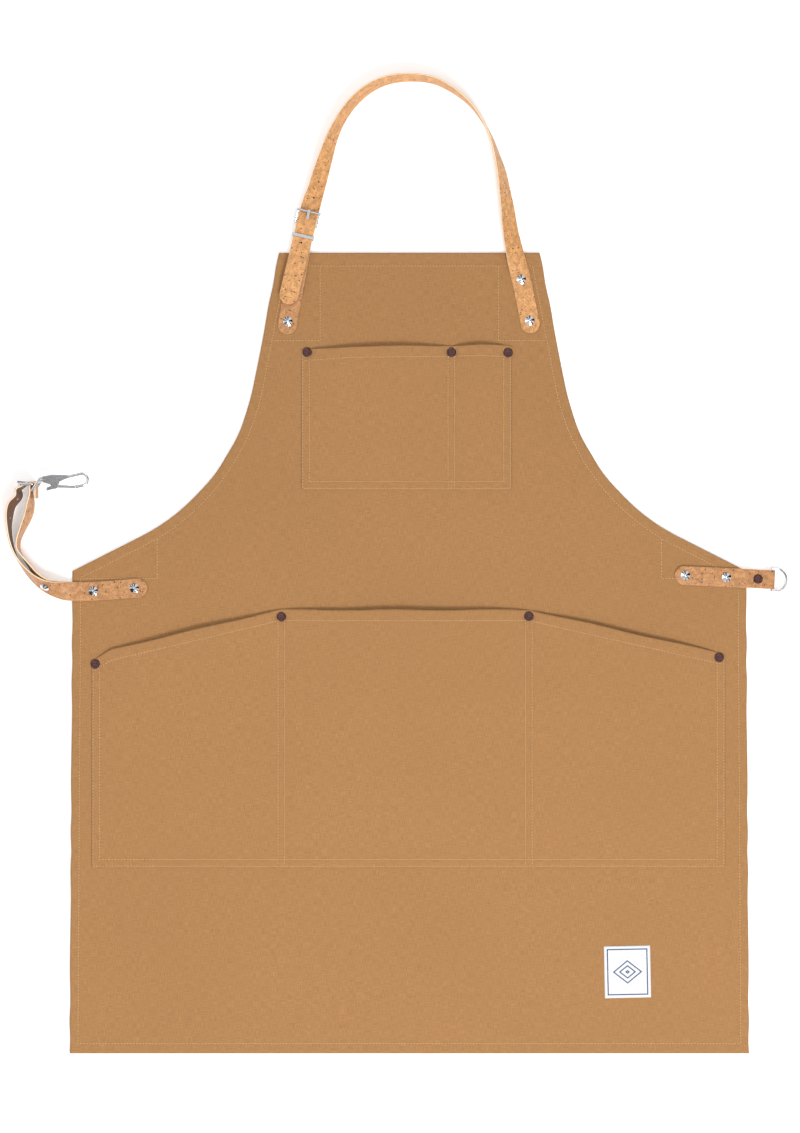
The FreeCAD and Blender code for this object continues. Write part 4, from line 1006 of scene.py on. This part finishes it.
def short_strap(material):
    """Short neck strap: turned back under itself round the heel bar."""
    on_canvas = FACE - BAR_LEVEL + STRAP_THICK / 2
    above = on_canvas + STRAP_THICK + LAYER_GAP
    under = [(RETURN_LENGTH, on_canvas), (50 * MM, on_canvas), (36 * MM, on_canvas), (27.5 * MM, on_canvas),
             (18.5 * MM, -FOLD_RADIUS), (12 * MM, -FOLD_RADIUS), (6 * MM, -FOLD_RADIUS)]
    over = [(5 * MM, FOLD_RADIUS - 1.0 * MM), (9 * MM, 0.9 * MM), (KINK, above), (34 * MM, above),
            (50 * MM, above), (RETURN_LENGTH, above), (75 * MM, on_canvas), (90 * MM, on_canvas),
            (104 * MM, on_canvas), (SHORT_LENGTH, on_canvas)]
    bend = arc_points(NECK_BAR, -UP, NECK_U, FOLD_RADIUS, 180)
    points = [short_spot(*p) for p in under] + list(bend) + [short_spot(*p) for p in over]
    upper = np.array([-NECK_U[1], NECK_U[0], 0])
    lower = turned(SHORT_HEADING + 90)
    across = [lower if d > KINK else upper for d, _ in under] + [upper] * len(bend)
    across += [lower if d > KINK else upper for d, _ in over]
    piece = folded_strap("neck_short_strap", points, -np.array(across), [STRAP_THICK] * len(points),
                         material, ("end",))
    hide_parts("neck_buckle_strap")


CORNER = at(-SIDE_HALF / MM, 87.0)
BELT_BAR = CORNER + np.array([-39.2, 91.1, 0]) * MM + UP * BELT_LEVEL
BELT_ALONG = turned(201.2)
BELT_NORMAL = turned(111.2)


def belt_route():
    """Stations of the waist strap's outer piece, from the canvas to the buckle."""
    flat = FACE + STRAP_THICK / 2
    route = [(79.4, -17.6, flat, 0), (66, -18.3, flat, 0), (50, -19.5, flat, 0), (33, -20.8, flat, 0),
             (15, -21.6, flat, 0), (6, -21.7, flat, 0), (-3, -21.5, standing(9, FACE), 9)]
    for x, y, twist in ((-12, -20.4, 28), (-21.5, -18.2, 45), (-30.5, -14.4, 58), (-41, -6.8, 70),
                        (-52, 5.5, 80), (-60, 19, 86), (-64, 32, 90), (-65.6, 46, 94),
                        (-65, 60, 103), (-61, 72, 107), (-55, 81, 103)):
        lift = 4.5 * MM * max(0.0, (y - 32) / 50.0)
        lift += (STRAP_THICK + BELT_GAP) * max(0.0, math.cos(math.radians(twist)))
        route.append((x, y, standing(twist) + lift, twist))
    result = [(CORNER[0] + x * MM, CORNER[1] + y * MM, z, twist) for x, y, z, twist in route]
    for d, n, twist in ((17.0, 0.9, 97), (13.0, 1.9, 93), (8.5, 3.1, 90), (5.2, 4.2, 90)):
        spot = BELT_BAR + BELT_ALONG * d * MM + BELT_NORMAL * n * MM
        result.append((spot[0], spot[1], BELT_LEVEL, twist))
    return result


def inner_belt(material):
    """Waist strap's inner piece: thin behind the canvas, beside the outer piece, then apart
    from it and folded round the buckle's bar and the eye's bar."""
    points, across, thick = [], [], []
    for x, y, z, twist in ((76, -17.8, SKIVED / 2, 0), (60, -18.8, SKIVED / 2, 0),
                           (40, -20.4, SKIVED / 2, 0), (22, -21.4, SKIVED / 2, 0),
                           (8, -21.6, SKIVED / 2, 0), (-0.4, -21.6, SKIVED / 2, 0),
                           (-3.5, -21.5, 1.6 * MM, 0), (-7.5, -20.7, standing(18, 0.2 * MM), 18)):
        a = math.radians(twist)
        points.append(CORNER * [1, 1, 0] + np.array([x * MM, y * MM, z]))
        across.append([0, math.cos(a), math.sin(a)])
        thick.append(SKIVED)
    route = np.array(belt_route())
    line, s = spline(route, 80)
    knots = run_length(route[:, :3])
    twist = np.radians(np.interp(s, knots, route[:, 3]))
    height = np.interp(s, knots, route[:, 2])
    way = unit(np.gradient(line[:, :3], axis=0) * [1, 1, 0])
    for k in range(0, len(s), 3):
        p = np.array([line[k, 0], line[k, 1], height[k]])
        if p[0] > CORNER[0] - 13 * MM or p[1] > CORNER[1] + 2 * MM:
            continue
        w = np.array([way[k, 1], -way[k, 0], 0]) * math.cos(twist[k]) + UP * math.sin(twist[k])
        n = np.cross(w, way[k])
        n = n / np.linalg.norm(n)
        gap = STRAP_THICK + BELT_GAP + 2.6 * MM * max(0.0, (CORNER[0] - 28 * MM - p[0]) / (16 * MM))
        spot = p - n * gap
        spot[2] = max(spot[2], standing(math.degrees(twist[k]), FLOOR_GAP))
        points.append(spot)
        across.append(w)
        thick.append(STRAP_THICK)
    for x, y, turn in ((-56.5, 26, 92), (-53.2, 40, 97), (-48.3, 51, 104), (-44.2, 62, 108),
                       (-42.6, 72, 103), (-42.1, 78.5, 95), (-41.95, 84, 90)):
        a = math.radians(turn)
        lift = 4.7 * MM * max(0.0, (y - 26) / 55.0)
        points.append(np.array([CORNER[0] + x * MM, CORNER[1] + y * MM, standing(turn) + lift]))
        across.append([math.cos(a), -0.12 * math.cos(a), math.sin(a)])
        thick.append(STRAP_THICK)
    bend = arc_points(BELT_BAR, np.array([-1.0, 0, 0]), np.array([0, 1.0, 0]), FOLD_RADIUS, 180)
    down = [BELT_BAR + np.array([FOLD_RADIUS, -y * MM, 0]) for y in (4, 9, 14.5)]
    points += list(bend) + down
    across += [UP] * (len(bend) + 3)
    thick += [STRAP_THICK] * (len(bend) + 3)
    piece = folded_strap("waist_inner_strap", points, np.array(across, float) * -1.0, thick, material)
    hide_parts("waist_strap_back")


RING_U = turned(-2.8)
RING_SIDE = turned(87.2)
RING_TIP = at(SIDE_HALF / MM - 75.9, 87 - 4.2)
RING_REACH = 102.4 * MM
RING_LEVEL = SKIVED + BAR_GAP + WIRE / 2


def ring_holder(material):
    """Strap folded round the D-ring's bar: thin behind the canvas, full on its face."""
    def spot(d, h):
        p = RING_TIP + RING_U * d
        return np.array([p[0], p[1], h])
    close = SKIVED + 0.2 * MM + STRAP_THICK / 2
    over_canvas = FACE + STRAP_THICK / 2
    r = RING_REACH
    low_radius = WIRE / 2 + BAR_GAP + SKIVED / 2
    points = [spot(4 * MM, SKIVED / 2), spot(30 * MM, SKIVED / 2), spot(60 * MM, SKIVED / 2),
              spot(82 * MM, SKIVED / 2), spot(r - 9 * MM, SKIVED / 2), spot(r - 4 * MM, SKIVED / 2)]
    thick = [SKIVED] * len(points)
    for k in range(9):
        a = math.radians(-90 + 22.5 * k)
        radius = low_radius + (FOLD_RADIUS - low_radius) * k / 8
        points.append(spot(r + radius * math.cos(a), RING_LEVEL + radius * math.sin(a)))
        thick.append(SKIVED + (STRAP_THICK - SKIVED) * k / 8)
    over = [(r - 3.5 * MM, RING_LEVEL + FOLD_RADIUS - 0.4 * MM), (r - 8.8 * MM, close), (r - 14 * MM, close),
            (r - 19.8 * MM, close), (r - 25.2 * MM, over_canvas), (60 * MM, over_canvas),
            (40 * MM, over_canvas), (20 * MM, over_canvas), (0, over_canvas)]
    points += [spot(d, h) for d, h in over]
    thick += [STRAP_THICK] * len(over)
    across = np.repeat([-RING_SIDE], len(points), 0)
    piece = folded_strap("ring_holder_strap", points, across, thick, material, ("end",))
    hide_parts("ring_strap")


# ================= operators =================

def shared(name, make):
    """A finish made once and used by several pieces."""
    return bpy.data.materials.get(name) or make()


def canvas_material(scene):
    return shared("canvas_weave", lambda: canvas_finish("canvas_weave", tuple(scene.apron_cloth.colour)))


def strap_material(scene, light):
    straps = scene.apron_straps
    if light:
        return shared("cork_light", lambda: cork_finish(
            "cork_light", tuple(straps.light), tuple(straps.edge)))
    return shared("cork_tan", lambda: cork_finish(
        "cork_tan", tuple(straps.tan), tuple(straps.edge), tuple(straps.lining)))


class APRON_OT_panel(bpy.types.Operator):
    """Lay the canvas panel, its corner patches and their stitching"""
    bl_idname = "apron.panel"
    bl_label = "Canvas panel"

    def execute(self, context):
        cloth = context.scene.apron_cloth
        material = canvas_material(context.scene)
        panel_cloth(cloth, material)
        for node, sign in (("bib_patch_left", -1), ("bib_patch_right", 1),
                           ("waist_patch_left", -1), ("waist_patch_right", 1)):
            patch_cloth(node, sign, material)
        thread = shared("sewing_thread", lambda: thread_finish(tuple(cloth.thread)))
        sew("panel_stitching", panel_rows(), lambda x, y: panel_height(x, y, cloth.ripple), cloth, thread, 11)
        return {"FINISHED"}


class APRON_OT_pockets(bpy.types.Operator):
    """Make the bib pocket and the waist pocket with their stitching"""
    bl_idname = "apron.pockets"
    bl_label = "Pockets"

    def execute(self, context):
        cloth = context.scene.apron_cloth
        material = shared("pocket_canvas", lambda: canvas_finish("pocket_canvas", tuple(cloth.colour), 1.02))
        thread = shared("sewing_thread", lambda: thread_finish(tuple(cloth.thread)))
        for node, spec, mouth, seed in (("bib_pocket", BIB_POCKET, BIB_MOUTH, 21),
                                        ("waist_pocket", WAIST_POCKET, WAIST_MOUTH, 34)):
            pocket_cloth(node, spec, mouth, cloth, material, seed)
            sew(node + "_stitching", pocket_rows(spec, mouth),
                lambda x, y: FACE + CLOTH + pocket_rise(spec, mouth, x, y, cloth.gape) * pressed(x, y)
                - 0.1 * MM,
                cloth, thread, seed)
        return {"FINISHED"}


class APRON_OT_label(bpy.types.Operator):
    """Sew on the woven label"""
    bl_idname = "apron.label"
    bl_label = "Woven label"

    def execute(self, context):
        low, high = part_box("woven_label")
        cx, cy = (low.x + high.x) / 2, (low.y + high.y) / 2
        half_w, half_h = LABEL_HALF
        turn = LABEL_TURN
        u, v = np.meshgrid(np.linspace(-1, 1, 40), np.linspace(-1, 1, 44))
        edge = np.minimum(1 - np.abs(u), 1 - np.abs(v)) * half_w
        px, py = u * half_w, v * half_h
        x = cx + px * math.cos(turn) - py * math.sin(turn)
        y = cy + px * math.sin(turn) + py * math.cos(turn)
        top = FACE + 0.15 * MM + 0.28 * MM * smooth(edge / (1.2 * MM)) + 0.08 * MM * ripples(x, y, 5, 0.05)
        points, faces = slab(x, y, top, np.full_like(top, FACE - 0.45 * MM))
        material = label_finish((cx, cy, 0), half_w, half_h, turn)
        piece = add_mesh("woven_label_cloth", points, faces, material)
        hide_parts("woven_label")
        return {"FINISHED"}


class APRON_OT_neck(bpy.types.Operator):
    """Make the long neck strap and the short buckle strap"""
    bl_idname = "apron.neck"
    bl_label = "Neck straps"

    def execute(self, context):
        frames = twisted_frames(neck_route(), 1, ("start", "end"), 420)
        piece = sweep("neck_long_strap", *frames, strap_material(context.scene, True), ("start", "end"))
        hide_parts("neck_strap")
        # near-black discs: painted shade inside the holes punched through the neck strap's tail
        dark = shared("hole_painted_shade", lambda: plain_finish("hole_painted_shade", (0.012, 0.009, 0.007)))
        for number, distance in enumerate((20.5, -29.0, -47.0)):
            punched("neck_hole_%d" % number, frames[0], frames[1], NECK_BAR - NECK_U * distance * MM, 1,
                    0.95 * MM, dark)
        short_strap(strap_material(context.scene, False))
        return {"FINISHED"}


class APRON_OT_waist(bpy.types.Operator):
    """Make the two pieces of the waist strap and the D-ring's strap"""
    bl_idname = "apron.waist"
    bl_label = "Waist straps"

    def execute(self, context):
        material = strap_material(context.scene, False)
        frames = twisted_frames(belt_route(), -1, ("start",), 300)
        piece = sweep("waist_outer_strap", *frames, material, ("start",))
        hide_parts("waist_strap_front")
        pale = shared("hole_pale", lambda: plain_finish("hole_pale", (0.72, 0.66, 0.60)))
        for number, (x, y) in enumerate(((-58, 77.5), (-65.5, 56))):
            punched("waist_hole_%d" % number, frames[0], frames[1], CORNER + np.array([x * MM, y * MM, 0]),
                    -1, 1.1 * MM, pale)
        inner_belt(shared("cork_tan_both", lambda: cork_finish(
            "cork_tan_both", tuple(context.scene.apron_straps.tan), tuple(context.scene.apron_straps.edge))))
        ring_holder(material)
        return {"FINISHED"}


class APRON_OT_metal(bpy.types.Operator):
    """Give the buckles, rings, hook and rivets their finishes"""
    bl_idname = "apron.metal"
    bl_label = "Metal finishes"

    def execute(self, context):
        metal = context.scene.apron_metal
        chrome = chrome_finish("chrome_plate", tuple(metal.chrome))
        copper = copper_finish(tuple(metal.copper))
        steel = chrome_finish("spring_wire", (0.45, 0.45, 0.47))
        for node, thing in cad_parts.items():
            if thing.hide_render:
                continue
            finish = copper if node.startswith("copper") else chrome
            if node == "hook_gate_spring":
                finish = steel
            for item in thing.material_slots:
                item.material = finish
        return {"FINISHED"}


class APRON_OT_stage(bpy.types.Operator):
    """Set the pale floor, the soft lights and the camera straight above"""
    bl_idname = "apron.stage"
    bl_label = "Stage"

    def execute(self, context):
        scene = context.scene
        scene.view_settings.view_transform = "Standard"
        f = Finish("stage_paper")
        f.shade(Base_Color=(0.97, 0.97, 0.97), Roughness=0.9, Specular_IOR_Level=0.1,
                Emission_Color=(1.0, 1.0, 1.0), Emission_Strength=0.22)
        mesh = bpy.data.meshes.new("stage_floor")
        r = FLOOR_HALF
        mesh.from_pydata([(-r, -r, 0), (r, -r, 0), (r, r, 0), (-r, r, 0)], [], [(0, 1, 2, 3)])
        mesh.materials.append(f.material)
        floor = bpy.data.objects.new("stage_floor", mesh)
        floor.location.z = -0.0003
        scene.collection.objects.link(floor)
        for name, spot, size, power in LAMPS:
            lamp = bpy.data.lights.new(name, "AREA")
            lamp.shape = "DISK"
            lamp.size = size
            lamp.energy = power
            thing = bpy.data.objects.new(name, lamp)
            thing.location = spot
            thing.rotation_euler = (-Vector(spot)).to_track_quat("-Z", "Y").to_euler()
            scene.collection.objects.link(thing)
        world = bpy.data.worlds.new("studio")
        world.use_nodes = True
        studio(world.node_tree)
        scene.world = world
        camera = bpy.data.cameras.new("camera")
        camera.lens = CAMERA_LENS
        camera.sensor_width = CAMERA_SENSOR
        camera.dof.use_dof = False
        eye = bpy.data.objects.new("camera", camera)
        centre = at(-9.9, 91.7, 0)
        eye.location = (centre[0], centre[1], CAMERA_HEIGHT)
        eye.rotation_euler = (0, 0, 0)
        scene.collection.objects.link(eye)
        scene.camera = eye
        return {"FINISHED"}


class APRON_PT_panel(bpy.types.Panel):
    """Lists the apron's pieces in the sidebar"""
    bl_idname = "APRON_PT_panel"
    bl_label = "Apron"
    bl_space_type = "VIEW_3D"
    bl_region_type = "UI"
    bl_category = "Apron"

    def draw(self, context):
        for group in (context.scene.apron_cloth, context.scene.apron_straps, context.scene.apron_metal):
            for name in group.bl_rna.properties.keys():
                if name not in ("rna_type", "name"):
                    self.layout.prop(group, name)
        for step in STEPS:
            self.layout.operator(step.bl_idname)


GROUPS = {"apron_cloth": ApronCloth, "apron_straps": ApronStraps, "apron_metal": ApronMetal}
STEPS = (APRON_OT_stage, APRON_OT_panel, APRON_OT_pockets, APRON_OT_label, APRON_OT_neck,
         APRON_OT_waist, APRON_OT_metal)


def register():
    for name, group in GROUPS.items():
        bpy.utils.register_class(group)
        setattr(bpy.types.Scene, name, bpy.props.PointerProperty(type=group))
    for step in STEPS + (APRON_PT_panel,):
        bpy.utils.register_class(step)


def unregister():
    for step in reversed(STEPS + (APRON_PT_panel,)):
        bpy.utils.unregister_class(step)
    for name, group in GROUPS.items():
        delattr(bpy.types.Scene, name)
        bpy.utils.unregister_class(group)


def corners(box):
    return [[float(x) for x in corner] for corner in box]


def main():
    register()
    for step in STEPS:
        family, action = step.bl_idname.split(".")
        getattr(getattr(bpy.ops, family), action)()


if __name__ == "__main__":
    main()
